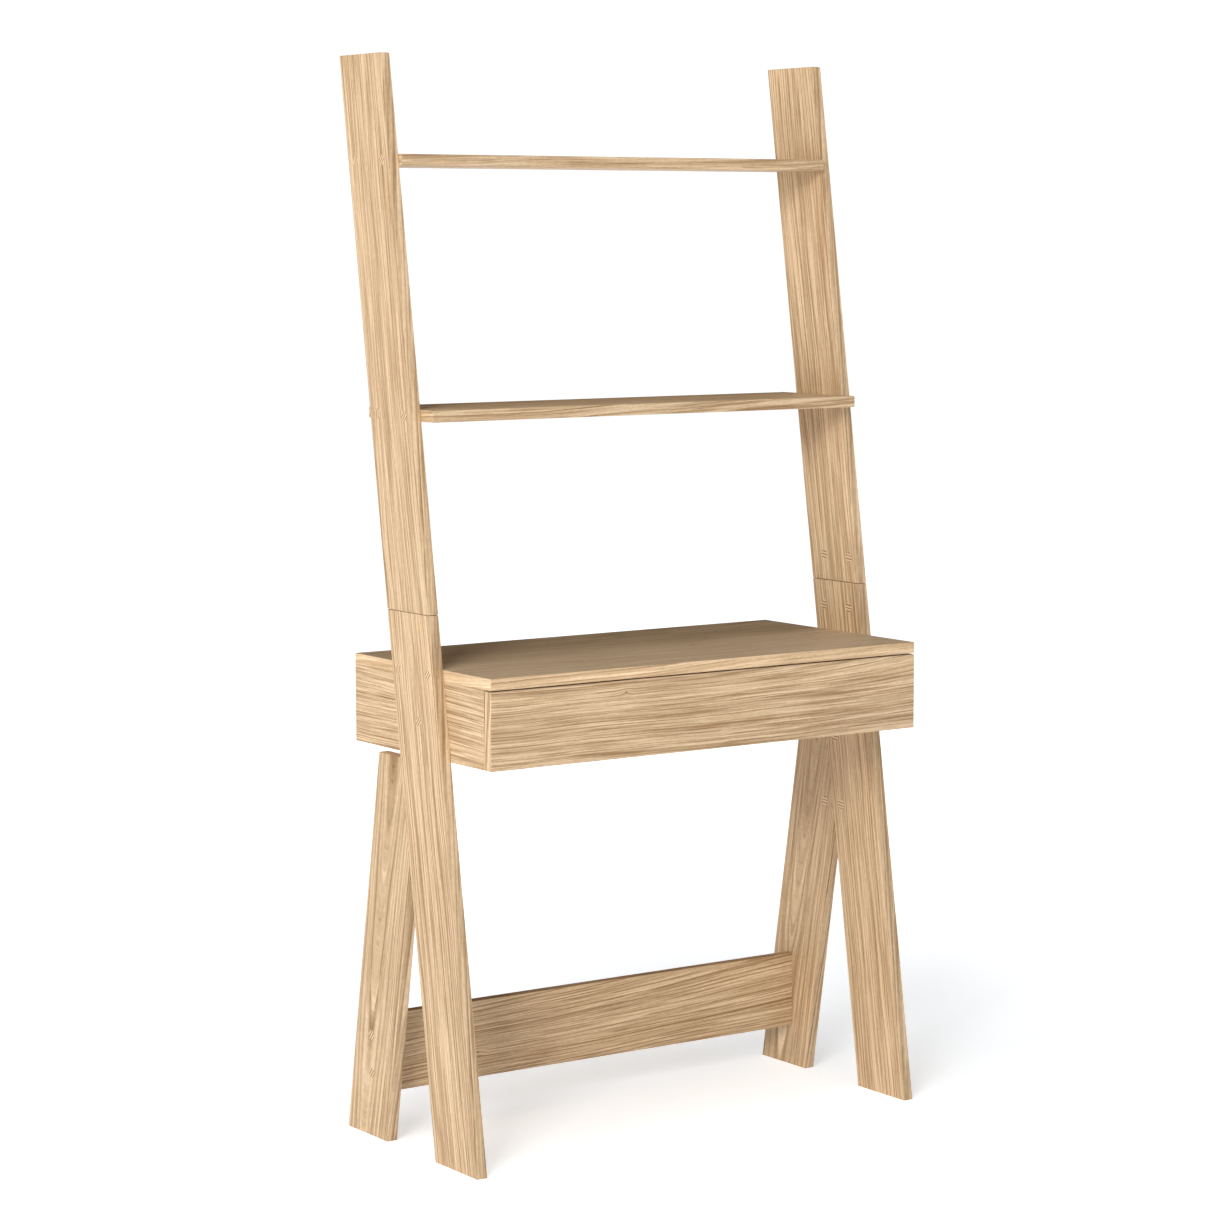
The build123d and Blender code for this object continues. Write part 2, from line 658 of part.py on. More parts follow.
# Drawer
DRAWER_BACK_Y = BOX_FRONT_Y + DRAWER_LENGTH
DRAWER_BOLT_X = DRAWER_INNER_X + CAM_AXIS_DEPTH


def front_bolts(side, mode):
    """Cam bolts that hold the drawer front on one drawer side."""
    for z in FRONT_BOLTS_Z:
        edge_bolt((side * DRAWER_BOLT_X, BOX_FRONT_Y, z), (0, -1, 0), mode)


def front_dowel(side, mode):
    """The dowel between the drawer front and one drawer side."""
    start = (side * DRAWER_BOLT_X, BOX_FRONT_Y - 12.0, FRONT_DOWEL_Z)
    add_cylinder(start, (0, 1, 0), DOWEL_RADIUS, DOWEL_LENGTH, mode)


def back_screws(side, mode):
    """Wood screws through one drawer side into the drawer back."""
    for z in BACK_SCREWS_Z:
        start = (side * DRAWER_OUTER_X, DRAWER_BACK_Y - DRAWER_BOARD / 2, z)
        add_wood_screw(start, (-side, 0, 0), 40.0, 2.0, mode)


def bottom_panel(mode):
    """The drawer's thin bottom, held in grooves."""
    with Locations((0, (BOX_FRONT_Y - GROOVE + DRAWER_BACK_Y) / 2, PANEL_LOW_Z)):
        Box(
            2 * (DRAWER_INNER_X + GROOVE),
            DRAWER_LENGTH + GROOVE,
            DRAWER_BOTTOM_BOARD,
            align=MIN_ALONG,
            mode=mode,
        )


def bottom_screws(mode):
    """Screws that hold the drawer bottom up against the drawer back."""
    for x in PANEL_SCREWS_X:
        start = (x, DRAWER_BACK_Y - DRAWER_BOARD / 2, PANEL_LOW_Z)
        add_cylinder(start, (0, 0, 1), 1.6, 16.0, mode)


with BuildPart() as drawer_front:
    panel((-INNER_X, FRONT_Y, BOX_BOTTOM_Z), (INNER_X, BOX_FRONT_Y, DESK_UNDER_Z - FRONT_GAP))
    fillet(drawer_front.edges(), EASE)
    bottom_panel(Mode.SUBTRACT)
    for side in SIDES:
        front_bolts(side, Mode.SUBTRACT)
        front_dowel(side, Mode.SUBTRACT)
save(drawer_front.part, "drawer_front")

for side, word in ((-1, "left"), (1, "right")):
    with BuildPart() as drawer_side:
        panel(
            (min(side * DRAWER_OUTER_X, side * DRAWER_INNER_X), BOX_FRONT_Y, DRAWER_LOW_Z),
            (max(side * DRAWER_OUTER_X, side * DRAWER_INNER_X), DRAWER_BACK_Y, DRAWER_HIGH_Z),
        )
        bottom_panel(Mode.SUBTRACT)
        for z in FRONT_BOLTS_Z:
            start = (side * DRAWER_INNER_X, BOX_FRONT_Y + EDGE_CAM_OFFSET, z)
            add_cylinder(start, (side, 0, 0), CAM_RADIUS, CAM_BORE, Mode.SUBTRACT)
        front_bolts(side, Mode.SUBTRACT)
        front_dowel(side, Mode.SUBTRACT)
        back_screws(side, Mode.SUBTRACT)
        inner_rail_screws(side, Mode.SUBTRACT)
    save(drawer_side.part, f"drawer_{word}_side")

with BuildPart() as drawer_back:
    panel(
        (-DRAWER_INNER_X, DRAWER_BACK_Y - DRAWER_BOARD, PANEL_HIGH_Z),
        (DRAWER_INNER_X, DRAWER_BACK_Y, DRAWER_HIGH_Z),
    )
    for side in SIDES:
        back_screws(side, Mode.SUBTRACT)
    bottom_screws(Mode.SUBTRACT)
save(drawer_back.part, "drawer_back")

with BuildPart() as drawer_bottom:
    bottom_panel(Mode.ADD)
    bottom_screws(Mode.SUBTRACT)
save(drawer_bottom.part, "drawer_bottom")

DRAWER_CAM_PLACES = [
    ((side * DRAWER_INNER_X, BOX_FRONT_Y + EDGE_CAM_OFFSET, z), (side, 0, 0), (0, -1, 0))
    for side in SIDES
    for z in FRONT_BOLTS_Z
]

with BuildPart() as drawer_cam_locks:
    add_cams(DRAWER_CAM_PLACES, Mode.ADD)
    cut_cams(DRAWER_CAM_PLACES)
save(drawer_cam_locks.part, "drawer_cam_locks")

with BuildPart() as drawer_cam_bolts:
    for side in SIDES:
        front_bolts(side, Mode.ADD)
    for side in SIDES:
        for z in FRONT_BOLTS_Z:
            cut_neck((side * DRAWER_BOLT_X, BOX_FRONT_Y + EDGE_CAM_OFFSET, z), (0, -1, 0), 4.0)
save(drawer_cam_bolts.part, "drawer_cam_bolts")

with BuildPart() as drawer_dowels:
    for side in SIDES:
        front_dowel(side, Mode.ADD)
save(drawer_dowels.part, "drawer_dowels")

with BuildPart() as drawer_back_screws:
    for side in SIDES:
        back_screws(side, Mode.ADD)
save(drawer_back_screws.part, "drawer_back_screws")

with BuildPart() as drawer_bottom_screws:
    bottom_screws(Mode.ADD)
    for x in PANEL_SCREWS_X:
        start = (x, DRAWER_BACK_Y - DRAWER_BOARD / 2, PANEL_LOW_Z)
        add_cylinder(start, (0, 0, -1), 3.2, 1.8, Mode.ADD)
save(drawer_bottom_screws.part, "drawer_bottom_screws")
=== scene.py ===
import logging
import math
from dataclasses import dataclass
from enum import Enum

import bmesh
import bpy
from mathutils import Matrix, Vector


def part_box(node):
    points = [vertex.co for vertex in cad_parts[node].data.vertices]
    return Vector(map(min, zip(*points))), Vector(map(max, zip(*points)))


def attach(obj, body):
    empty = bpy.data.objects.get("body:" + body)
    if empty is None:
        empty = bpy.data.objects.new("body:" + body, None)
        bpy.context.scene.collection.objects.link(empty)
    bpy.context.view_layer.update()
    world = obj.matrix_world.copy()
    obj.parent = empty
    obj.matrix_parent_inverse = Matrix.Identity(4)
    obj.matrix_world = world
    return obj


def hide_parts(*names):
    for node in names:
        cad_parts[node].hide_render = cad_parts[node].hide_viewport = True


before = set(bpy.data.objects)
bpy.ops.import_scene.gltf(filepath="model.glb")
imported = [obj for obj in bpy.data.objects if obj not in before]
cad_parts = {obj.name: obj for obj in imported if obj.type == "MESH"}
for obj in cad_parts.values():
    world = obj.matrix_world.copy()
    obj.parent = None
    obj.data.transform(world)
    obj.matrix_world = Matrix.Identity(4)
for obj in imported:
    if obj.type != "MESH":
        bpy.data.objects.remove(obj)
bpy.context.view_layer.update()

LOG = logging.getLogger("ladder_desk")
MM = 0.001
SIDES = ((-1, "left"), (1, "right"))
COLLECTION = bpy.context.scene.collection
Point = tuple[float, float]
Triple = tuple[float, float, float]
Colour = tuple[float, float, float, float]
Face = tuple[Vector, Vector, Vector, Vector, float]
NO_RIM = (0.02, 0.02)
WHITE: Colour = (1.0, 1.0, 1.0, 1.0)


# ---- Shared sizes ----


@dataclass(frozen=True)
class DeskSizes:
    """Sizes in metres that more than one sub-assembly needs."""

    width: float = 850 * MM
    height: float = 1700 * MM
    board: float = 18 * MM
    stile_rake: float = math.tan(math.radians(8.7))
    leg_rake: float = math.tan(math.radians(9.9))
    stile_run: float = 120 * MM / math.cos(math.radians(8.7))
    leg_run: float = 120 * MM / math.cos(math.radians(9.9))
    foot_front: float = -185.5 * MM
    foot_back: float = 203.5 * MM
    splice: float = 848 * MM
    leg_top: float = 621 * MM
    rail_axis: float = 687 * MM

    @property
    def outer(self) -> float:
        """Distance from the middle to the outer face of a side frame."""
        return self.width / 2

    @property
    def inner(self) -> float:
        """Distance from the middle to the inner face of a side frame."""
        return self.outer - self.board

    @property
    def box_inner(self) -> float:
        """Distance from the middle to the inner face of a desk box side."""
        return self.inner - self.board

    def stile_front(self, z: float) -> float:
        """Front edge of a stile at height z."""
        return self.foot_front + self.stile_rake * z

    def stile_back(self, z: float) -> float:
        """Rear edge of a stile at height z."""
        return self.stile_front(z) + self.stile_run

    def stile_middle(self, z: float) -> float:
        """Centre line of a stile at height z."""
        return self.stile_front(z) + self.stile_run / 2

    def leg_back(self, z: float) -> float:
        """Rear edge of a rear leg at height z."""
        return self.foot_back - self.leg_rake * z

    def leg_front(self, z: float) -> float:
        """Front edge of a rear leg at height z, below the stile."""
        return self.leg_back(z) - self.leg_run

    @property
    def crotch(self) -> float:
        """Height at which a rear leg's front edge reaches the stile."""
        return (self.leg_front(0) - self.stile_back(0)) / (self.stile_rake + self.leg_rake)


SIZES = DeskSizes()


# ---- Node wiring ----


class Value:
    """An output of a node tree that plain arithmetic can be done on."""

    def __init__(self, wiring: "Wiring", socket: bpy.types.NodeSocket) -> None:
        """Wraps a socket.

        Args:
            wiring: The wiring that adds the arithmetic's nodes.
            socket: The output socket.
        """
        self.wiring = wiring
        self.socket = socket

    def __add__(self, other: object) -> "Value":
        """The sum with another value or number."""
        return self.wiring.math("ADD", self, other)

    def __sub__(self, other: object) -> "Value":
        """The difference from another value or number."""
        return self.wiring.math("SUBTRACT", self, other)

    def __mul__(self, other: object) -> "Value":
        """The product with another value or number."""
        return self.wiring.math("MULTIPLY", self, other)

    def __truediv__(self, other: object) -> "Value":
        """The quotient by another value or number."""
        return self.wiring.math("DIVIDE", self, other)


@dataclass(frozen=True)
class Layer:
    """One layer of noise: fineness along and across, number of finer layers, their weight, and a shift."""

    along: float
    across: float
    detail: float = 2.0
    rough: float = 0.5
    shift: float = 0.0


class Wiring:
    """Adds and joins the nodes of one shader or geometry tree."""

    def __init__(self, tree: bpy.types.NodeTree) -> None:
        """Starts on a tree.

        Args:
            tree: The node tree to fill.
        """
        self.tree = tree

    def node(self, kind: str, feeds: dict | None = None, **settings: object) -> bpy.types.Node:
        """Adds a node.

        Args:
            kind: The node's type name.
            feeds: Values for its inputs, by name or number.
            settings: Properties to set on it.

        Returns:
            The new node.
        """
        made = self.tree.nodes.new(kind)
        for key, value in settings.items():
            setattr(made, key, value)
        for key, value in (feeds or {}).items():
            self.feed(made.inputs[key], value)
        return made

    def out(self, kind: str, feeds: dict | None = None, port: int | str = 0, **settings: object) -> Value:
        """Adds a node and takes one of its outputs.

        Args:
            kind: The node's type name.
            feeds: Values for its inputs, by name or number.
            port: Which output.
            settings: Properties to set on it.

        Returns:
            The output.
        """
        return Value(self, self.node(kind, feeds, **settings).outputs[port])

    def feed(self, target: bpy.types.NodeSocket, value: object) -> None:
        """Links an input to a value, or sets it to a constant.

        Args:
            target: The input socket.
            value: What goes in.
        """
        if isinstance(value, Value):
            self.tree.links.new(value.socket, target)
        else:
            target.default_value = value

    def given(self) -> dict[str, Value]:
        """The tree's own inputs, by name."""
        return {socket.name: Value(self, socket) for socket in self.node("NodeGroupInput").outputs if socket.name}

    def math(self, operation: str, *values: object) -> Value:
        """Does one sum.

        Args:
            operation: The operation's name.
            values: What goes in.

        Returns:
            The result.
        """
        return self.out("ShaderNodeMath", dict(enumerate(values)), operation=operation)

    def vector(self, x: object = 0.0, y: object = 0.0, z: object = 0.0) -> Value:
        """Joins three values into a vector."""
        return self.out("ShaderNodeCombineXYZ", {0: x, 1: y, 2: z})

    def split(self, source: Value) -> list[Value]:
        """Takes a vector apart into its three values."""
        return [Value(self, socket) for socket in self.node("ShaderNodeSeparateXYZ", {0: source}).outputs]

    def noise(self, place: Value, detail: float = 2.0, rough: float = 0.5, scale: float = 1.0) -> Value:
        """Smooth noise about 0.5.

        Args:
            place: Where it is read.
            detail: Number of finer layers.
            rough: Weight of the finer layers.
            scale: Overall scale.

        Returns:
            The noise value.
        """
        feeds = {"Vector": place, "Scale": scale, "Detail": detail, "Roughness": rough}
        return self.out("ShaderNodeTexNoise", feeds, noise_dimensions="3D")

    def layer(self, kind: Layer, along: Value, across: Value, seed: Value) -> Value:
        """Reads one layer of noise.

        Args:
            kind: The layer.
            along: Place along the board.
            across: Place across the board or the rings.
            seed: The board's own number.

        Returns:
            The noise value.
        """
        place = self.vector(along * kind.along, across * kind.across, seed + kind.shift)
        return self.noise(place, kind.detail, kind.rough)

    def step(self, value: Value, low: float, high: float, start: float = 0.0, end: float = 1.0) -> Value:
        """A smooth step.

        Args:
            value: What is tested.
            low: Where the step starts.
            high: Where it ends.
            start: Result before it.
            end: Result after it.

        Returns:
            The stepped value.
        """
        feeds = dict(enumerate((value, low, high, start, end)))
        return self.out("ShaderNodeMapRange", feeds, interpolation_type="SMOOTHSTEP")

    def blend(self, amount: Value, first: object, second: object) -> Value:
        """Mixes two colours.

        Args:
            amount: How much of the second.
            first: First colour.
            second: Second colour.

        Returns:
            The mixed colour.
        """
        return self.out("ShaderNodeMix", {0: amount, 6: first, 7: second}, 2, data_type="RGBA", blend_type="MIX")

    def curve(self, value: Value, stops: tuple[Point, ...]) -> Value:
        """Passes a value through a stepped line.

        Args:
            value: From 0 to 1.
            stops: Pairs of place and result.

        Returns:
            The result.
        """
        made = self.node("ShaderNodeValToRGB", {0: value})
        ramp = made.color_ramp
        while len(ramp.elements) < len(stops):
            ramp.elements.new(0.5)
        for element, (place, level) in zip(ramp.elements, stops):
            element.position = place
            element.color = (level, level, level, 1.0)
        return Value(self, made.outputs[0])


class Surface:
    """A material with one bare shader and its wiring."""

    def __init__(self, name: str, metallic: float = 0.0, ior: float = 1.45) -> None:
        """Starts the material.

        Args:
            name: The material's name.
            metallic: The shader's metallic value.
            ior: The shader's index of refraction.
        """
        self.material = bpy.data.materials.new(name)
        self.material.use_nodes = True
        self.material.node_tree.nodes.clear()
        self.wiring = Wiring(self.material.node_tree)
        self.shader = self.wiring.node("ShaderNodeBsdfPrincipled", {"Metallic": metallic, "IOR": ior})
        self.wiring.node("ShaderNodeOutputMaterial", {0: Value(self.wiring, self.shader.outputs[0])})

    def feed(self, **values: object) -> None:
        """Feeds the shader's inputs, named with underscores for spaces."""
        for name, value in values.items():
            self.wiring.feed(self.shader.inputs[name.replace("_", " ")], value)

    def bump(self, height: Value, strength: float, distance: float) -> None:
        """Puts a bump on the shader.

        Args:
            height: The height pattern.
            strength: How strong the bump is.
            distance: Its depth in metres.
        """
        feeds = {"Strength": strength, "Distance": distance, "Height": height}
        self.feed(Normal=self.wiring.out("ShaderNodeBump", feeds))


# ---- Finishes ----


@dataclass(frozen=True)
class Knot:
    """A pin knot: place along and across the board, and its radius, in metres."""

    along: float = 0.0
    across: float = 9.0
    radius: float = 0.0025


class Cut(Enum):
    """How a board's face lies in the log: pith distance across, pith depth, and tilt."""

    STRAIGHT = (0.42, 0.10, 0.010)
    RIFT = (0.20, 0.09, 0.030)
    SWEEP = (0.16, 0.05, 0.085)
    CATHEDRAL = (0.014, 0.0505, -0.024)


@dataclass(frozen=True)
class OakFoil:
    """The pale oak finish of one board."""

    seed: float
    cut: Cut = Cut.STRAIGHT
    ring: float = 0.0062
    wander: float = 0.007
    contrast: float = 1.0
    bands: float = 1.0
    # painted_light scales all the board's colours to stand in for the light that falls on that board: painted light and
    # shade; 1.0 paints none.
    painted_light: float = 1.0
    pith: float | None = None
    depth: float | None = None
    tilt: float | None = None
    stroke: float = 0.0
    knots: tuple[Knot, ...] = ()

    pale: Colour = (0.690, 0.505, 0.320, 1.0)
    body: Colour = (0.530, 0.370, 0.215, 1.0)
    line: Colour = (0.285, 0.160, 0.070, 1.0)
    dark: Colour = (0.160, 0.085, 0.038, 1.0)

    def material(self, name: str) -> bpy.types.Material:
        """Makes this finish.

        Args:
            name: The material's name.

        Returns:
            The material.
        """
        surface = Surface(name, ior=1.46)
        own = (self.pith, self.depth, self.tilt)
        pith, depth, tilt = (usual if value is None else value for usual, value in zip(self.cut.value, own))
        values = {
            "Seed": self.seed, "Pith Across": pith, "Pith Depth": depth, "Tilt": tilt, "Ring Width": self.ring,
            "Wander": self.wander, "Contrast": self.contrast, "Bands": self.bands, "Stroke": self.stroke,
            "Pale": self.scaled(self.pale), "Body": self.scaled(self.body),
            "Line": self.scaled(self.line), "Dark": self.scaled(self.dark),
        }
        for number, knot in enumerate((self.knots + (Knot(), Knot()))[:2], 1):
            values[f"Knot {number} Along"] = knot.along
            values[f"Knot {number} Across"] = knot.across
            values[f"Knot {number} Radius"] = knot.radius
        group = surface.wiring.node("ShaderNodeGroup", node_tree=oak_group())
        for key, value in values.items():
            group.inputs[key].default_value = value
        colour, matt, height = (Value(surface.wiring, socket) for socket in group.outputs)
        surface.feed(Specular_IOR_Level=0.35, Base_Color=colour, Roughness=matt)
        surface.bump(height, 0.45, 0.00018)
        return surface.material

    def scaled(self, colour: Colour) -> Colour:
        """A colour times this board's painted light level, which lightens or darkens it as painted light and shade."""
        return (*(part * self.painted_light for part in colour[:3]), 1.0)


class OakPattern:
    """The oak pattern that every board shares: rings of a log, read on the board's face."""

    NUMBERS = ("Seed", "Pith Across", "Pith Depth", "Tilt", "Ring Width", "Wander", "Contrast", "Bands", "Stroke")
    COLOURS = ("Pale", "Body", "Line", "Dark")
    KNOTS = (1, 2)
    SLOW = Layer(2.1, 7.0, 1.5)
    QUICK = Layer(17.0, 60.0)
    BREAKS = Layer(11.0, 2.0, 2.0, 0.6)
    STREAKS = Layer(3.2, 165.0, 3.0, 0.65)
    THIN = Layer(6.0, 420.0, 2.0, 0.6, 3.1)
    FIBRES = Layer(38.0, 2600.0, 2.0, 0.6)
    PORES = Layer(75.0, 1500.0, 1.0, shift=9.7)
    FLECKS = Layer(110.0, 430.0, 2.0, 0.7, 1.3)
    CLOUDS = Layer(1.1, 11.0, shift=5.0)
    RIM_PATCHES = Layer(30.0, 30.0)
    RING = ((0.0, 0.0), (0.07, 0.9), (0.15, 1.0), (0.27, 0.28), (0.55, 0.04), (1.0, 0.0))
    SEED_STEP = 7.3
    STROKE_TURN = 1300.0

    def __init__(self) -> None:
        """Builds the group."""
        self.tree = bpy.data.node_groups.new("oak_pattern", "ShaderNodeTree")
        face = self.tree.interface
        knots = [f"Knot {number} {word}" for number in self.KNOTS for word in ("Along", "Across", "Radius")]
        for name in (*self.NUMBERS, *knots):
            face.new_socket(name, in_out="INPUT", socket_type="NodeSocketFloat")
        for name in self.COLOURS:
            face.new_socket(name, in_out="INPUT", socket_type="NodeSocketColor")
        for name, kind in (("Colour", "Color"), ("Roughness", "Float"), ("Height", "Float")):
            face.new_socket(name, in_out="OUTPUT", socket_type="NodeSocket" + kind)
        self.w = w = Wiring(self.tree)
        self.given = w.given()
        self.along, self.across, _ = w.split(w.out("ShaderNodeUVMap", uv_map="grain"))
        self.seed = self.given["Seed"] * self.SEED_STEP

        radius, core = self.log()
        ring = self.rings(radius)
        fibre = w.layer(self.FIBRES, self.along, radius, self.seed)
        cloud = w.layer(self.CLOUDS, self.along, self.across, self.seed)
        pore = w.step(w.layer(self.PORES, self.along, radius, self.seed), 0.60, 0.70) * (ring * 0.65 + 0.35)
        colour = self.strokes(self.lines(radius, ring, pore, core), radius)
        fleck = w.layer(self.FLECKS, self.along, radius, self.seed) * 0.42 + 0.79
        level = (fibre - 0.5) * 0.16 + (cloud - 0.5) * 0.24 + fleck
        colour = w.out("ShaderNodeVectorMath", {0: colour, 3: level}, operation="SCALE")
        colour, pale_rim, seam = self.rim(colour)
        matt = pale_rim * -0.08 + (fibre * 0.08 + (cloud * 0.10 + (pore * 0.16 + 0.43)))
        height = seam * -0.5 + (ring * -0.35 + (pore * -0.9 + fibre * 0.35))
        w.node("NodeGroupOutput", {"Colour": colour, "Roughness": matt, "Height": height})

    def log(self) -> tuple[Value, Value]:
        """Finds where each point lies in the log.

        Returns:
            The distance from the pith, bent round the knots, and the knots' cores.
        """
        w, given, along, across = self.w, self.given, self.along, self.across
        slow = w.layer(self.SLOW, along, across, self.seed) - 0.5
        quick = w.layer(self.QUICK, along, across, self.seed) - 0.5
        drift = slow * 3.2 + quick * 0.16
        sideways = drift * given["Wander"] + (across - given["Pith Across"])
        deep = along * given["Tilt"] + given["Pith Depth"]
        radius = w.math("SQRT", sideways * sideways + deep * deep)
        cores = []
        for number in self.KNOTS:
            size = given[f"Knot {number} Radius"]
            dx, dy = along - given[f"Knot {number} Along"], across - given[f"Knot {number} Across"]
            far, wide = dx / (size * 7.0), dy / (size * 3.4)
            near = w.math("EXPONENT", (far * far + wide * wide) * -1.0)
            radius = near * size * 2.2 + radius
            span = w.math("SQRT", dx * dx * 0.35 + dy * dy)
            cores.append(w.step(span / size, 0.35, 1.15, 1.0, 0.0))
        return radius, w.math("MAXIMUM", *cores)

    def rings(self, radius: Value) -> Value:
        """Growth rings of uneven width and weight.

        Args:
            radius: The distance from the pith.

        Returns:
            How strong the ring's line is.
        """
        w = self.w
        place = radius / self.given["Ring Width"]
        place = w.noise(w.vector(place * 0.36, self.seed, self.along * 0.35)) * 3.4 + place
        chance = w.vector(w.math("FLOOR", place), self.seed)
        weight = w.out("ShaderNodeTexWhiteNoise", {"Vector": chance}, "Value", noise_dimensions="2D")
        weight = w.math("POWER", weight, 1.2) * 0.95 + 0.30
        broken = w.step(w.layer(self.BREAKS, self.along, place, self.seed), 0.30, 0.60, 0.35, 1.15)
        return w.curve(w.math("FRACT", place), self.RING) * weight * broken

    def lines(self, radius: Value, ring: Value, pore: Value, core: Value) -> Value:
        """Colours the streaks, thin lines, rings, pores and knots.

        Args:
            radius: The distance from the pith.
            ring: The rings.
            pore: The pores.
            core: The knots' cores.

        Returns:
            The colour.
        """
        w, given = self.w, self.given
        pale, body, line, dark = (given[name] for name in self.COLOURS)
        streak = w.layer(self.STREAKS, self.along, radius, self.seed)
        thin = w.layer(self.THIN, self.along, radius, self.seed)
        colour = w.blend(w.step(streak, 0.50, 0.66) * given["Bands"], body, pale)
        for amount, tint in (
            (w.step(streak, 0.50, 0.26) * (given["Bands"] * 0.26), line),
            (w.step(thin, 0.53, 0.64) * (given["Contrast"] * 0.72), line),
            (w.step(thin, 0.46, 0.36) * (given["Contrast"] * 1.1), pale),
            (ring * (given["Contrast"] * 0.95), line),
            (pore * 0.42, dark),
            (core * 0.86, dark),
        ):
            colour = w.blend(amount, colour, tint)
        return colour

    def strokes(self, colour: Value, radius: Value) -> Value:
        """Lays the broad, even strokes of a cover cap's foil.

        Args:
            colour: The colour so far.
            radius: The distance from the pith.

        Returns:
            The colour with the strokes.
        """
        w, stroke = self.w, self.given["Stroke"]
        wave = w.math("SINE", radius * self.STROKE_TURN)
        colour = w.blend(w.step(wave, -0.2, -0.8) * stroke, colour, self.given["Pale"])
        return w.blend(w.step(wave, 0.1, 0.7) * stroke, colour, self.given["Line"])

    def rim(self, colour: Value) -> tuple[Value, Value, Value]:
        """Lays a paler rim along the face's long edges, in patches, and the fine joint where the edge band meets the
        face.

        Args:
            colour: The colour so far.

        Returns:
            The colour with both, the paler rim and the joint.
        """
        w = self.w
        low, high, _ = w.split(w.out("ShaderNodeUVMap", uv_map="rim"))
        border = w.math("MINIMUM", low, high)
        rim_patches = w.step(w.layer(self.RIM_PATCHES, self.along, self.across, self.seed), 0.35, 0.65, 0.15, 0.6)
        pale_rim = w.step(border, 0.0, 0.0013, 1.0, 0.0) * rim_patches
        seam = w.step(border, 0.0006, 0.0009) * w.step(border, 0.0010, 0.0014, 1.0, 0.0)
        colour = w.blend(pale_rim, colour, self.given["Pale"])
        return w.blend(seam * 0.45, colour, self.given["Line"]), pale_rim, seam


def oak_group() -> bpy.types.NodeTree:
    """The oak pattern's group, made at its first use."""
    return bpy.data.node_groups.get("oak_pattern") or OakPattern().tree


@dataclass(frozen=True)
class SpeckledFinish:
    """A finish made of layers of speckle: pressed board, cast or rolled metal, turned wood."""

    name: str
    base: Colour
    spot: Colour
    scale: Triple
    metallic: float = 0.0
    rough: float = 0.5
    spread: float = 0.15
    bump: float = 0.3
    depth: float = 0.0002

    def material(self, _: str = "") -> bpy.types.Material:
        """Makes this finish once, under its own name.

        Args:
            _: A name that this finish has no use for.

        Returns:
            The material.
        """
        if self.name in bpy.data.materials:
            return bpy.data.materials[self.name]
        surface = Surface(self.name, self.metallic)
        w = surface.wiring
        place = w.out("ShaderNodeTexCoord", port="Object")
        coarse = w.vector(*(part * size for part, size in zip(w.split(place), self.scale)))
        grainy, fine = w.noise(coarse, 3.0, 0.6), w.noise(coarse, 2.0, 0.7, 4.3)
        cloud = w.noise(place, 2.0, 0.5, 14.0)
        colour = w.blend(w.step(grainy, 0.45, 0.62), self.base, self.spot)
        colour = w.blend(w.step(cloud, 0.35, 0.65) * 0.30, colour, self.spot)
        matt = (cloud - 0.5) * self.spread + ((fine - 0.5) * (self.spread * 2) + self.rough)
        surface.feed(Base_Color=colour, Roughness=matt)
        surface.bump(grainy + fine * 0.6, self.bump, self.depth)
        return surface.material


Finish = OakFoil | SpeckledFinish
CORE = SpeckledFinish(
    "chip_core_finish", (0.42, 0.28, 0.16, 1), (0.62, 0.46, 0.29, 1), (900, 900, 900),
    rough=0.85, bump=0.8, depth=0.0004)
HARDBOARD = SpeckledFinish(
    "hardboard_finish", (0.50, 0.35, 0.21, 1), (0.60, 0.44, 0.28, 1), (260, 260, 260), rough=0.55, depth=0.0001)
BEECH = SpeckledFinish("beech_dowel_finish", (0.60, 0.40, 0.24, 1), (0.48, 0.30, 0.16, 1), (700, 700, 120), rough=0.6)
ZINC = SpeckledFinish(
    "zinc_casting_finish", (0.46, 0.46, 0.47, 1), (0.60, 0.60, 0.61, 1), (520, 520, 520), 1.0, 0.42, 0.12, 0.35)
PLATED = SpeckledFinish(
    "plated_fastener_finish", (0.62, 0.61, 0.58, 1), (0.74, 0.73, 0.70, 1), (600, 600, 600), 1.0, 0.30, 0.10, 0.15)
RAIL_STEEL = SpeckledFinish(
    "runner_steel_finish", (0.60, 0.61, 0.62, 1), (0.66, 0.67, 0.68, 1), (900, 14, 900), 1.0, 0.34, 0.05, 0.05, 0.00005)
BALL_STEEL = SpeckledFinish(
    "bearing_steel_finish", (0.70, 0.70, 0.71, 1), (0.80, 0.80, 0.81, 1), (300, 300, 300),
    1.0, 0.12, 0.05, 0.03, 0.00005)
EDGE_BAND = {"cut": Cut.RIFT, "ring": 0.006}


# ---- Boards ----


@dataclass(frozen=True)
class Spot:
    """Where one fitting sits: its point on a face, the way it faces and the way its mark points."""

    point: Triple
    out: Triple
    mark: Triple

    def turn(self) -> Vector:
        """The fitting's turn as Euler angles."""
        out = Vector(self.out)
        side = out.cross(Vector(self.mark)).normalized()
        mark = side.cross(out).normalized()
        return Vector(Matrix((mark, side, out)).transposed().to_euler())


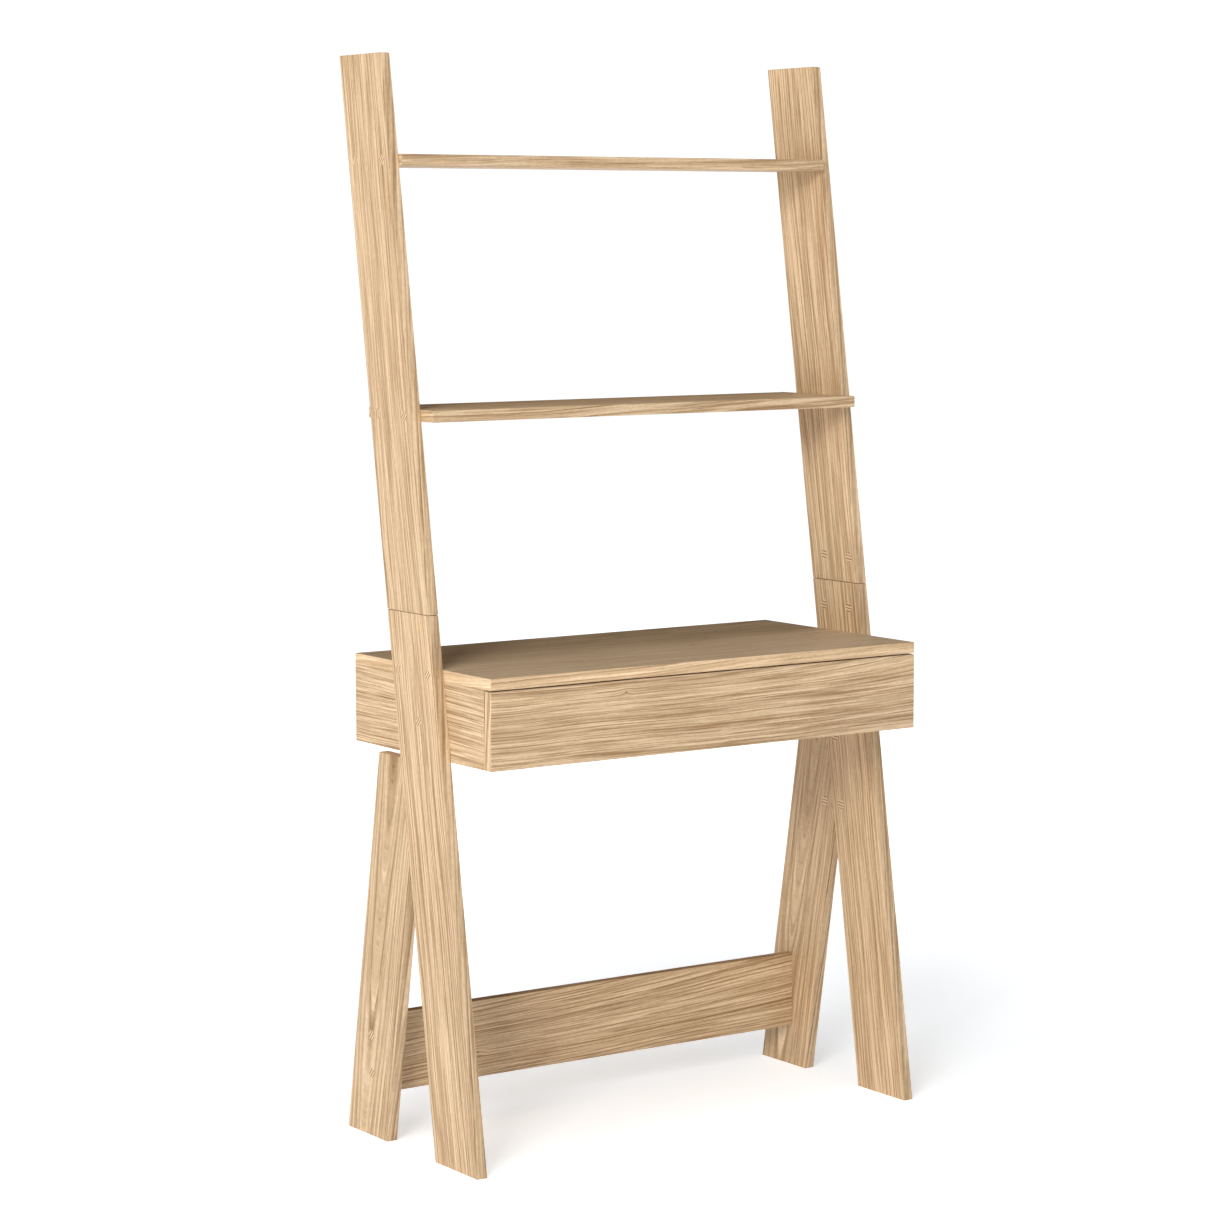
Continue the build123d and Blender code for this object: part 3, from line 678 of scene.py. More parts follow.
@dataclass(frozen=True)
class Bore:
    """The round blind hole that a cam lock sits in."""

    spot: Spot
    radius: float = 7.5 * MM
    depth: float = 14 * MM
    lift: float = 1 * MM
    slack: float = 0.01 * MM
    sides: int = 40

    def holds(self, point: Vector) -> bool:
        """Tells whether a point lies on this hole's wall or floor.

        Args:
            point: The point.

        Returns:
            True if it does.
        """
        inward = -Vector(self.spot.out)
        away = point - Vector(self.spot.point)
        deep = away.dot(inward)
        return deep > self.slack and (away - inward * deep).length < self.radius + self.slack

    def drill(self, shell: bmesh.types.BMesh) -> None:
        """Adds the drill that cuts this hole.

        Args:
            shell: The bmesh that it is added to.
        """
        inward = -Vector(self.spot.out)
        turn = Vector((0, 0, 1)).rotation_difference(inward).to_matrix().to_4x4()
        middle = Vector(self.spot.point) + inward * (self.depth / 2 - self.lift)
        bmesh.ops.create_cone(
            shell, cap_ends=True, segments=self.sides, radius1=self.radius, radius2=self.radius,
            depth=self.depth + 2 * self.lift, matrix=Matrix.Translation(middle) @ turn,
        )


@dataclass
class Board:
    """One foil-faced board: a flat outline with a thickness, eased edges and its own grain."""

    name: str
    outline: list[Vector]
    thick: Vector
    along: Vector
    foil: OakFoil
    band: Finish
    bores: tuple[Bore, ...] = ()
    ease: float = 0.8 * MM
    edge_shift: float = 1.7
    broad: int = 2

    def build(self) -> bpy.types.Object:
        """Builds and dresses the board.

        Returns:
            The finished object.
        """
        shell = bmesh.new()
        near = [shell.verts.new(p) for p in self.outline]
        far = [shell.verts.new(p + self.thick) for p in self.outline]
        shell.faces.new(near)
        shell.faces.new(far)
        for i in range(len(near)):
            j = (i + 1) % len(near)
            shell.faces.new((near[i], near[j], far[j], far[i]))
        bmesh.ops.recalc_face_normals(shell, faces=shell.faces)
        bmesh.ops.bevel(shell, geom=list(shell.edges), offset=self.ease, segments=3, profile=0.5, affect="EDGES")
        for face in shell.faces:
            face.smooth = True
        piece = mesh_object(self.name, shell)
        if self.bores:
            cutter = self.cutter()
            cut = piece.modifiers.new("bores", "BOOLEAN")
            cut.operation, cut.solver, cut.object = "DIFFERENCE", "EXACT", cutter
            settle(piece)
            bpy.data.objects.remove(cutter)
        self.dress(piece)
        return weighted(piece, True)

    def cutter(self) -> bpy.types.Object:
        """Makes the body that drills this board's holes.

        Returns:
            A temporary object.
        """
        shell = bmesh.new()
        for bore in self.bores:
            bore.drill(shell)
        bmesh.ops.recalc_face_normals(shell, faces=shell.faces)
        return mesh_object(self.name + "_drill", shell)

    def dress(self, piece: bpy.types.Object) -> None:
        """Lays the grain on each face and puts on the materials.

        Args:
            piece: The board's object.
        """
        mesh = piece.data
        for word, finish in (("foil", self.foil), ("band", self.band), ("core", CORE)):
            mesh.materials.append(finish.material(f"{self.name}_{word}"))
        faces = self.faces()
        grain, rim = (mesh.uv_layers.new(name=name) for name in ("grain", "rim"))
        for polygon in mesh.polygons:
            best = max(range(len(faces)), key=lambda i: faces[i][0].dot(polygon.normal))
            _, origin, along, across, reach = faces[best]
            edge = best >= self.broad
            drilled = any(bore.holds(polygon.center) for bore in self.bores)
            polygon.material_index = 2 if drilled else int(edge)
            for loop in polygon.loop_indices:
                here = mesh.vertices[mesh.loops[loop].vertex_index].co - origin
                u, v = here.dot(along), here.dot(across)
                grain.data[loop].uv = (u + self.edge_shift * best * edge, v)
                rim.data[loop].uv = NO_RIM if edge else (reach + v, reach - v)
            if drilled:
                polygon.use_smooth = False

    def faces(self) -> list[Face]:
        """The board's flat faces.

        Returns:
            For each face its normal, grain origin, along and across directions, and half width;
            the two broad faces come first.
        """
        normal = self.thick.normalized()
        across = normal.cross(self.along).normalized()
        if across.z < -0.5 or across.y < -0.5:
            across = -across
        spread = [across.dot(p) for p in self.outline]
        middle, reach = (max(spread) + min(spread)) / 2, (max(spread) - min(spread)) / 2
        origin = self.along * min(self.along.dot(p) for p in self.outline) + across * middle
        found = [(out, origin, self.along, across, reach) for out in (-normal, normal)]
        centre = sum(self.outline, Vector()) / len(self.outline)
        for i, p in enumerate(self.outline):
            run = (self.outline[(i + 1) % len(self.outline)] - p).normalized()
            out = run.cross(normal).normalized()
            if out.dot(p - centre) < 0:
                out = -out
            if run.dot(self.along) < 0:
                run = -run
            found.append((out, p + self.thick / 2, run, normal, self.thick.length / 2))
        return found


def mesh_object(name: str, shell: bmesh.types.BMesh) -> bpy.types.Object:
    """Turns a bmesh into an object at the origin.

    Args:
        name: The object's name.
        shell: The bmesh, which is freed.

    Returns:
        The object.
    """
    mesh = bpy.data.meshes.new(name)
    shell.to_mesh(mesh)
    shell.free()
    piece = bpy.data.objects.new(name, mesh)
    COLLECTION.objects.link(piece)
    return piece


def settle(piece: bpy.types.Object) -> None:
    """Turns a piece's modifiers into a plain mesh.

    Args:
        piece: The object, changed in place.
    """
    bpy.context.view_layer.update()
    graph = bpy.context.evaluated_depsgraph_get()
    mesh = bpy.data.meshes.new_from_object(piece.evaluated_get(graph), preserve_all_data_layers=True, depsgraph=graph)
    mesh.name = piece.name
    piece.modifiers.clear()
    piece.data = mesh


def weighted(piece: bpy.types.Object, keep_sharp: bool = False) -> bpy.types.Object:
    """Weights the normals by face size, so that flat faces between rounded edges look flat.

    Args:
        piece: The object, changed in place.
        keep_sharp: Whether sharp edges stay sharp.

    Returns:
        The same object.
    """
    weigh = piece.modifiers.new("flats", "WEIGHTED_NORMAL")
    weigh.keep_sharp = keep_sharp
    settle(piece)
    return piece


def place(piece: bpy.types.Object, body: str, slot: str, *nodes: str) -> None:
    """Tells the frame what a finished piece rides on and stands for.

    Args:
        piece: The finished object.
        body: The body it rides on.
        slot: The record's material slot; not used.
        nodes: The nodes it replaces.
    """
    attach(piece, body)
    if nodes:
        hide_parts(*nodes)
    LOG.info("%s: %d faces on %s", piece.name, len(piece.data.polygons), body)


def flat_board(
    node: str, flat: str, foil: OakFoil, band: Finish, body: str = "frame", slot: str = "oak_board",
    cams: tuple[Spot, ...] = (), word: str = "board", ease: float = 0.8 * MM,
) -> None:
    """Builds a rectangular board from its node's box.

    Args:
        node: The node that it stands for.
        flat: The axis that it is thin along: x, y or z.
        foil: Finish of the broad faces.
        band: Finish of the edges.
        body: The body it rides on.
        slot: The record's material slot.
        cams: The cam locks that it is bored for.
        word: What the piece is called after the node's name.
        ease: The radius of its edges, in metres.
    """
    low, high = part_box(node)
    axis = "xyz".index(flat)
    u, v = (i for i in range(3) if i != axis)
    outline = []
    for a, b in ((0, 0), (1, 0), (1, 1), (0, 1)):
        corner = low.copy()
        corner[u], corner[v] = (low, high)[a][u], (low, high)[b][v]
        outline.append(corner)
    thick = Vector((0.0, 0.0, 0.0))
    thick[axis] = high[axis] - low[axis]
    along = Vector((0, 1, 0)) if flat == "x" else Vector((1, 0, 0))
    bores = tuple(Bore(spot) for spot in cams)
    place(Board(f"{node}_{word}", outline, thick, along, foil, band, bores, ease).build(), body, slot, node)


# ---- Side frames, shelves and stretcher ----


@dataclass(frozen=True)
class SideFrame:
    """One raking side frame: a stile in two lengths and the rear leg behind it."""

    side: int
    word: str
    seed: float
    # The two stile lengths' colours are scaled by these painted light levels, to stand in for the light that reaches
    # them: painted light and shade, the lower lengths painted lighter.
    upper_painted_light: float
    lower_painted_light: float
    joint: float = 0.7 * MM

    def stile(self, low: float, high: float) -> list[Point]:
        """A stile's outline, in depth and height, between two heights."""
        front, back = SIZES.stile_front, SIZES.stile_back
        return [(front(low), low), (back(low), low), (back(high), high), (front(high), high)]

    def build(self) -> None:
        """Builds the frame's three boards."""
        s, seed = SIZES, self.seed
        x = -s.outer if self.side < 0 else s.inner
        upper = self.stile(s.splice + self.joint / 2, s.height)
        lower = self.stile(0, s.splice - self.joint / 2)
        leg = [
            (s.leg_front(0), 0), (s.leg_back(0), 0), (s.leg_back(s.leg_top), s.leg_top),
            (s.stile_back(s.leg_top), s.leg_top), (s.stile_back(s.crotch), s.crotch),
        ]
        band = OakFoil(seed + 9, **EDGE_BAND, wander=0.006)
        for part, outline, tilt, foil in (
            ("upper_stile", upper, s.stile_rake, OakFoil(seed, contrast=1.12, painted_light=self.upper_painted_light)),
            ("lower_stile", lower, s.stile_rake, OakFoil(seed + 3, contrast=1.12, painted_light=self.lower_painted_light)),
            ("rear_leg", leg, -s.leg_rake, OakFoil(seed + 5, Cut.CATHEDRAL, contrast=0.85)),
        ):
            node = f"{self.word}_{part}"
            corners = [Vector((x, y, z)) for y, z in outline]
            along = Vector((0, tilt, 1)).normalized()
            made = Board(node + "_board", corners, Vector((s.board, 0, 0)), along, foil, band).build()
            place(made, "frame", "oak_board", node)


class Crosspieces:
    """The two open shelves and the low stretcher between the side frames."""

    def build(self) -> None:
        """Builds the shelves and the stretcher."""
        # The shelves' edge bands are painted darker, 0.92 and 0.98: painted shade.
        for node, seed, painted_light in (("top_shelf", 51.0, 0.92), ("middle_shelf", 57.0, 0.98)):
            band = OakFoil(seed + 2, Cut.RIFT, wander=0.006, painted_light=painted_light)
            flat_board(node, "z", OakFoil(seed, Cut.RIFT, ring=0.010), band)
        knots = (Knot(0.175, -0.022, 0.002),)
        # The stretcher's foil is painted 4 % lighter: painted light.
        foil = OakFoil(63.0, Cut.SWEEP, ring=0.0056, contrast=1.15, painted_light=1.04, knots=knots)
        flat_board("stretcher", "y", foil, OakFoil(65.0, **EDGE_BAND))


# ---- Desk box ----


class DeskBox:
    """The desk top with its two side panels and its back panel."""

    # The desk top's pale and body colours are greyer and cooler than the other boards': painted cool light falling on
    # the top.
    TOP_FOIL = OakFoil(
        71.0, Cut.RIFT, ring=0.0048, contrast=0.75, bands=0.4, pale=(0.640, 0.500, 0.345, 1.0),
        body=(0.520, 0.380, 0.236, 1.0), knots=(Knot(0.50, -0.02, 0.003), Knot(0.57, 0.04, 0.003)))

    @staticmethod
    def side_cams(side: int) -> tuple[Spot, ...]:
        """The cam locks in one side panel."""
        places = ((-135.5 * MM, 713 * MM), (134.5 * MM, 713 * MM))
        return tuple(Spot((side * SIZES.box_inner, y, z), (-side, 0, 0), (0, 0, 1)) for y, z in places)

    @staticmethod
    def back_cams(side: int) -> tuple[Spot, ...]:
        """The cam locks at one end of the back panel."""
        return tuple(Spot((side * 355 * MM, 179.5 * MM, z), (0, -1, 0), (side, 0, 0)) for z in (658 * MM, 714 * MM))

    def build(self) -> None:
        """Builds the four boards."""
        # The desk top's edge bands are painted 18 % lighter: painted light.
        band = OakFoil(73.0, Cut.RIFT, ring=0.005, wander=0.006, contrast=0.6, painted_light=1.18)
        flat_board("desk_top", "z", self.TOP_FOIL, band)
        for side, word in SIDES:
            foil = OakFoil(77.0 + side, Cut.RIFT, ring=0.0054, contrast=1.1, bands=1.3)
            flat_board(f"desk_{word}_side", "x", foil, OakFoil(79.0, **EDGE_BAND), cams=self.side_cams(side))
        foil, cams = OakFoil(83.0, Cut.SWEEP, ring=0.0066), self.back_cams(-1) + self.back_cams(1)
        flat_board("desk_back", "y", foil, OakFoil(85.0, **EDGE_BAND), cams=cams)


# ---- Drawer ----


class Drawer:
    """The drawer: its front, sides, back and thin bottom."""

    FRONT_FOIL = OakFoil(
        91.0, Cut.SWEEP, ring=0.0048, contrast=1.15, tilt=0.105, pith=0.13, depth=-0.02,
        knots=(Knot(0.245, 0.042, 0.0016),))

    @staticmethod
    def side_cams(side: int) -> tuple[Spot, ...]:
        """The cam locks in one drawer side."""
        heights = (668 * MM, 712 * MM)
        return tuple(Spot((side * 360.3 * MM, -151.5 * MM, z), (-side, 0, 0), (0, -1, 0)) for z in heights)

    def build(self) -> None:
        """Builds the drawer's boards."""
        band = OakFoil(93.0, **EDGE_BAND)
        flat_board("drawer_front", "y", self.FRONT_FOIL, band, "drawer")
        for side, word in SIDES:
            foil, cams = OakFoil(95.0 + side, Cut.RIFT), self.side_cams(side)
            flat_board(f"drawer_{word}_side", "x", foil, band, "drawer", "drawer_board", cams)
        flat_board("drawer_back", "y", OakFoil(99.0), band, "drawer", "drawer_board")
        foil = OakFoil(103.0, Cut.RIFT, contrast=0.7, bands=0.7)
        flat_board("drawer_bottom", "z", foil, HARDBOARD, "drawer", "hardboard", word="sheet", ease=0.4 * MM)


# ---- Repeated fittings, set out by geometry trees ----


class Shape(Enum):
    """The kinds of fitting that a tree can set out."""

    CAP = "cap"
    CAM = "cam"
    SCREW = "screw"
    BALL = "ball"


class FittingTree(Wiring):
    """A geometry tree that puts one fitting on every marked point."""

    ROUND = 40
    HEAD_ROUND = 28
    CHAMFER = 0.4 * MM
    CAM_CROSS = (8.0 * MM, 1.6 * MM, 2.2 * MM)
    CAM_POINTER = (2.0 * MM, 0.7 * MM, 0.8 * MM)
    POINTER_PLACE = 5.5 * MM
    CHANNEL_LENGTH = 17 * MM
    CHANNEL_PLACE = 5 * MM
    SECOND_BLADE = 0.94

    def __init__(self, name: str, shape: Shape, sizes: dict[str, float]) -> None:
        """Builds the tree.

        Args:
            name: The tree's name.
            shape: What it makes.
            sizes: Its named sizes in metres.
        """
        super().__init__(bpy.data.node_groups.new(name, "GeometryNodeTree"))
        self.sizes = sizes
        face = self.tree.interface
        face.new_socket("Geometry", in_out="INPUT", socket_type="NodeSocketGeometry")
        for size in sizes:
            face.new_socket(size, in_out="INPUT", socket_type="NodeSocketFloat")
        face.new_socket("Finish", in_out="INPUT", socket_type="NodeSocketMaterial")
        face.new_socket("Geometry", in_out="OUTPUT", socket_type="NodeSocketGeometry")
        self.size = self.given()
        makers = {Shape.CAP: self.cap, Shape.CAM: self.cam, Shape.SCREW: self.screw, Shape.BALL: self.ball}
        part = self.stored(makers[shape](), "grain", self.out("GeometryNodeInputPosition"))
        part = self.stored(part, "rim", self.vector(*NO_RIM))
        feeds = {"Points": self.size["Geometry"], "Instance": part, "Rotation": self.read("turn")}
        whole = self.out("GeometryNodeRealizeInstances", {0: self.out("GeometryNodeInstanceOnPoints", feeds)})
        moved = self.out("ShaderNodeVectorMath", {0: self.read("grain"), 1: self.read("shift")})
        feeds = {"Geometry": self.stored(whole, "grain", moved), "Material": self.size["Finish"]}
        self.node("NodeGroupOutput", {"Geometry": self.out("GeometryNodeSetMaterial", feeds)})

    def read(self, name: str) -> Value:
        """Reads a stored vector by name."""
        return self.out("GeometryNodeInputNamedAttribute", {"Name": name}, data_type="FLOAT_VECTOR")

    def stored(self, geometry: Value, name: str, value: Value) -> Value:
        """Stores a pattern coordinate on a geometry.

        Args:
            geometry: The geometry.
            name: The coordinate's name.
            value: What is stored.

        Returns:
            The geometry with it.
        """
        feeds = {"Geometry": geometry, "Name": name, "Value": value}
        return self.out("GeometryNodeStoreNamedAttribute", feeds, data_type="FLOAT2", domain="CORNER")

    def ports(self, kind: str, feeds: dict) -> list[Value]:
        """Adds a node and takes its mesh and its top selection."""
        made = self.node(kind, feeds)
        return [Value(self, made.outputs[name]) for name in ("Mesh", "Top")]

    def shifted(self, geometry: Value, up: object, along: object = 0.0, turn: Triple = (0.0, 0.0, 0.0)) -> Value:
        """Moves and turns a geometry.

        Args:
            geometry: The geometry.
            up: How far it moves out of the face.
            along: How far it moves towards the mark.
            turn: How it turns, as Euler angles.

        Returns:
            The moved geometry.
        """
        feeds = {"Geometry": geometry, "Translation": self.vector(along, 0.0, up), "Rotation": turn}
        return self.out("GeometryNodeTransform", feeds)

    def cube(self, *size: object) -> Value:
        """A box of three sizes about the origin."""
        return self.out("GeometryNodeMeshCube", {"Size": self.vector(*size)})

    def drum(self, sides: int, radius: object, depth: object) -> Value:
        """A cylinder about the origin."""
        return self.out("GeometryNodeMeshCylinder", {"Vertices": sides, "Radius": radius, "Depth": depth})

    def rounded(self, radius: object, depth: object, lip: object, sides: int = ROUND) -> Value:
        """A disc whose top edge is chamfered, with its foot at the origin.

        Args:
            radius: Its radius.
            depth: Its height without the chamfer.
            lip: The chamfer's height.
            sides: How many sides the round has.

        Returns:
            The disc's mesh.
        """
        mesh, top = self.ports("GeometryNodeMeshCylinder", {"Vertices": sides, "Radius": radius, "Depth": depth})
        feeds = {"Mesh": mesh, "Selection": top, "Offset Scale": lip, "Individual": False}
        mesh, top = self.ports("GeometryNodeExtrudeMesh", feeds)
        narrow = self.math("SUBTRACT", 1.0, self.math("DIVIDE", lip, radius))
        shrunk = self.out("GeometryNodeScaleElements", {"Geometry": mesh, "Selection": top, "Scale": narrow})
        return self.shifted(shrunk, self.math("MULTIPLY", depth, 0.5))

    def joined(self, operation: str, tools: list[Value], feeds: dict | None = None) -> Value:
        """Joins solids, or takes them away from another one.

        Args:
            operation: UNION or DIFFERENCE.
            tools: The solids.
            feeds: The solid that they are taken away from, if any.

        Returns:
            The resulting solid.
        """
        made = self.node("GeometryNodeMeshBoolean", feeds, operation=operation)
        for tool in tools:
            self.feed(made.inputs["Mesh 2"], tool)
        return Value(self, made.outputs[0])

    def cross(self, reach: object, width: object, depth: object, up: object) -> list[Value]:
        """The two blades of a cross recess.

        Args:
            reach: A blade's length.
            width: A blade's width.
            depth: How deep they go.
            up: The height that they are sunk from.

        Returns:
            The two blades.
        """
        tall = self.math("MULTIPLY", depth, 2.0)
        blades = self.cube(reach, width, tall), self.cube(width, reach, tall * self.SECOND_BLADE)
        return [self.shifted(blade, up) for blade in blades]

    def cap(self) -> Value:
        """A cover cap that stands a little proud of the board."""
        size = self.size
        disc = self.rounded(size["Radius"], size["Under"] + size["Rise"], size["Lip"])
        return self.shifted(disc, size["Under"] * -1.0)

    def cam(self) -> Value:
        """A cast cam lock with its cross recess, chamfered rim, pointer and bolt channel."""
        size = self.size
        top = size["Sunk"] * -1.0
        body = self.rounded(size["Radius"], size["Height"] - self.CHAMFER, self.CHAMFER)
        body = self.shifted(body, (size["Height"] + size["Sunk"]) * -1.0)
        channel = self.drum(24, size["Channel"], self.CHANNEL_LENGTH)
        channel = self.shifted(channel, size["Axis"] * -1.0, self.CHANNEL_PLACE, (0.0, math.pi / 2, 0.0))
        pointer = self.shifted(self.cube(*self.CAM_POINTER), top, self.POINTER_PLACE)
        return self.joined("DIFFERENCE", [*self.cross(*self.CAM_CROSS, top), channel, pointer], {"Mesh 1": body})

    def screw(self) -> Value:
        """A screw with a tapered or domed head, a cross recess and a plain shank."""
        head, shank, drop, dome, length = (self.size[key] for key in ("Head", "Shank", "Taper", "Dome", "Length"))
        feeds = {"Vertices": self.HEAD_ROUND, "Radius Bottom": shank, "Radius Top": head, "Depth": drop}
        taper = self.shifted(self.out("GeometryNodeMeshCone", feeds), drop * -1.0)
        crown = self.rounded(head, dome, dome * 0.6, self.HEAD_ROUND)
        stem = self.shifted(self.drum(16, shank, length), length * -0.5)
        whole = self.joined("UNION", [taper, crown, stem])
        blades = self.cross(head * 1.15, head * 0.24, head * 0.7, dome * 1.6)
        return self.joined("DIFFERENCE", blades, {"Mesh 1": whole})

    def ball(self) -> Value:
        """A bearing ball."""
        ball = self.out("GeometryNodeMeshUVSphere", {"Segments": 20, "Rings": 12, "Radius": self.size["Radius"]})
        return self.out("GeometryNodeSetShadeSmooth", {"Geometry": ball})

    def set_out(self, name: str, spots: list[Spot], finish: bpy.types.Material) -> bpy.types.Object:
        """Makes the fittings as one plain mesh.

        Args:
            name: The object's name.
            spots: Where they go.
            finish: Their material.

        Returns:
            The finished object.
        """
        mesh = bpy.data.meshes.new(name)
        mesh.from_pydata([spot.point for spot in spots], [], [])
        turn, shift = (mesh.attributes.new(key, "FLOAT_VECTOR", "POINT") for key in ("turn", "shift"))
        for i, spot in enumerate(spots):
            turn.data[i].vector = spot.turn()
            shift.data[i].vector = (0.37 * i, 0.0013 * ((i * 5) % 7), 0.0)
        piece = bpy.data.objects.new(name, mesh)
        COLLECTION.objects.link(piece)
        modifier = piece.modifiers.new("fittings", "NODES")
        modifier.node_group = self.tree
        values = {**self.sizes, "Finish": finish}
        for item in self.tree.interface.items_tree:
            if item.in_out == "INPUT" and item.name in values:
                modifier[item.identifier] = values[item.name]
        settle(piece)
        for spare in {"turn", "shift"} & set(piece.data.attributes.keys()):
            piece.data.attributes.remove(piece.data.attributes[spare])
        return piece


class Fittings:
    """Cover caps, cam locks and screws of the side frames, the desk box and the drawer."""

    CAP_FOIL = {"wander": 0.001, "contrast": 0.5, "stroke": 0.95}
    CAP_SIZES = {"Radius": 8 * MM, "Rise": 0.12 * MM, "Under": 0.3 * MM, "Lip": 0.13 * MM}
    CAM_SIZES = {"Radius": 7.4 * MM, "Height": 13.4 * MM, "Sunk": 0.6 * MM, "Axis": 9 * MM, "Channel": 3.8 * MM}
    RAIL_SCREW = (3.5, 1.75, 1.75, 0.05, 14.0)
    BACK_SCREW = (4.0, 2.0, 2.0, 0.05, 40.0)
    BOTTOM_SCREW = (3.2, 1.6, 0.3, 1.1, 16.0)
    RAIL_PLACES = (-148.5 * MM, 59.5 * MM, 139.5 * MM)
    FIXED_SEAT = 387.8 * MM
    MOVING_SEAT = 377.5 * MM
    DRAWER_OUTER = 376.3 * MM
    DRAWER_BACK = 156.5 * MM
    BOTTOM_SEAT = 651 * MM
    TOP_SHELF = 1537 * MM
    MIDDLE_SHELF = 1149 * MM
    DESK = 756 * MM
    LEGS = 127.5 * MM

    def outer_caps(self) -> list[tuple[float, float, Triple]]:
        """Depth, height and grain direction of the caps on an outer face."""
        slant, level = (0, -0.62, 0.78), (0, SIZES.stile_rake, 1.0)
        pairs = []
        for z, pitch in ((self.TOP_SHELF, 39 * MM), (self.MIDDLE_SHELF, 40 * MM)):
            middle = SIZES.stile_middle(z)
            pairs += [(middle - pitch, z, slant), (middle + pitch, z, level)]
        return [
            *pairs, (-53 * MM, self.DESK, slant), (35 * MM, self.DESK, level),
            (self.LEGS, 101.5 * MM, slant), (self.LEGS, 163.5 * MM, slant), (-24.5 * MM, 682 * MM, slant),
        ]

    def inner_cams(self) -> list[tuple[float, float, Triple]]:
        """Depth, height and pointer of the cams on an inner face."""
        mid, splice = SIZES.stile_middle(SIZES.splice) - 3.5 * MM, SIZES.splice
        found = [(mid + k * 33 * MM, splice - step * 42 * MM, (0, 0, step)) for step in (-1, 1) for k in (-1, 1)]
        for z in (472.5 * MM, 585 * MM):
            found += [(SIZES.stile_back(z) + step * 22 * MM, z, (0, -step, 0)) for step in (-1, 1)]
        return found

    def build(self) -> None:
        """Builds and dresses every fitting."""
        self.caps()
        self.cams()
        self.screws()
        for node in ("double_cam_bolts", "cam_bolts", "connector_screws", "box_screws", "drawer_cam_bolts"):
            self.wear(node, PLATED)
        for node in ("dowels", "drawer_dowels"):
            self.wear(node, BEECH)

    def caps(self) -> None:
        """Sets out the cover caps."""
        tree = FittingTree("cover_caps", Shape.CAP, self.CAP_SIZES)
        outer = [Spot((k * SIZES.outer, y, z), (k, 0, 0), mark) for k, _ in SIDES for y, z, mark in self.outer_caps()]
        inner = [
            Spot((k * SIZES.inner, y, z), (-k, 0, 0), (0, -1, -0.10)) for k, _ in SIDES for y, z, _ in self.inner_cams()
        ]
        for name, spots, seed, foil, node in (
            ("screw_cover_caps", outer, 17.0, "outer_cap_foil", "screw_caps"),
            ("cam_cover_caps", inner, 23.0, "inner_cap_foil", "cam_caps"),
        ):
            finish = OakFoil(seed, **self.CAP_FOIL).material(foil)
            place(tree.set_out(name, spots, finish), "frame", "oak_cap", node)

    def cams(self) -> None:
        """Sets out the cam locks."""
        tree = FittingTree("cam_lock_set", Shape.CAM, self.CAM_SIZES)
        held = [Spot((k * SIZES.inner, y, z), (-k, 0, 0), mark) for k, _ in SIDES for y, z, mark in self.inner_cams()]
        for k, _ in SIDES:
            held += DeskBox.side_cams(k) + DeskBox.back_cams(k)
        drawer = [spot for k, _ in SIDES for spot in Drawer.side_cams(k)]
        place(tree.set_out("cam_lock_castings", held, ZINC.material()), "frame", "zinc_casting", "cam_locks")
        drawn = tree.set_out("drawer_cam_castings", drawer, ZINC.material())
        place(drawn, "drawer", "zinc_casting", "drawer_cam_locks")

    def screws(self) -> None:
        """Sets out the four kinds of screw."""
        axis, rail, back = SIZES.rail_axis, self.RAIL_PLACES, self.DRAWER_BACK
        for node, body, kind, spots in (
            ("fixed_rail_screws", "frame", self.RAIL_SCREW, [
                Spot((k * self.FIXED_SEAT, y, axis), (-k, 0, 0), (0, 0.5, 1)) for k, _ in SIDES for y in rail]),
            ("moving_rail_screws", "drawer", self.RAIL_SCREW, [
                Spot((k * self.MOVING_SEAT, y, axis), (k, 0, 0), (0, 0.3, 1)) for k, _ in SIDES for y in rail]),
            ("drawer_back_screws", "drawer", self.BACK_SCREW, [
                Spot((k * self.DRAWER_OUTER, back, z), (k, 0, 0), (0, 0.2, 1))
                for k, _ in SIDES for z in (666 * MM, 716 * MM)]),
            ("drawer_bottom_screws", "drawer", self.BOTTOM_SCREW, [
                Spot((x, back, self.BOTTOM_SEAT), (0, 0, -1), (1, 0.4, 0)) for x in (-240 * MM, 0.0, 240 * MM)]),
        ):
            name = node.removesuffix("s") + "_set"
            sizes = {key: size * MM for key, size in zip(("Head", "Shank", "Taper", "Dome", "Length"), kind)}
            made = FittingTree(name, Shape.SCREW, sizes).set_out(name, spots, PLATED.material())
            place(made, body, "plated_fastener", node)

    def wear(self, node: str, finish: SpeckledFinish) -> None:
        """Gives a carried-over node its finish.

        Args:
            node: The node's name.
            finish: The finish for its slot.
        """
        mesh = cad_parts[node].data
        mesh.materials.clear()
        mesh.materials.append(finish.material())
        LOG.info("%s: kept, %s", node, finish.name)


# ---- Drawer runners ----


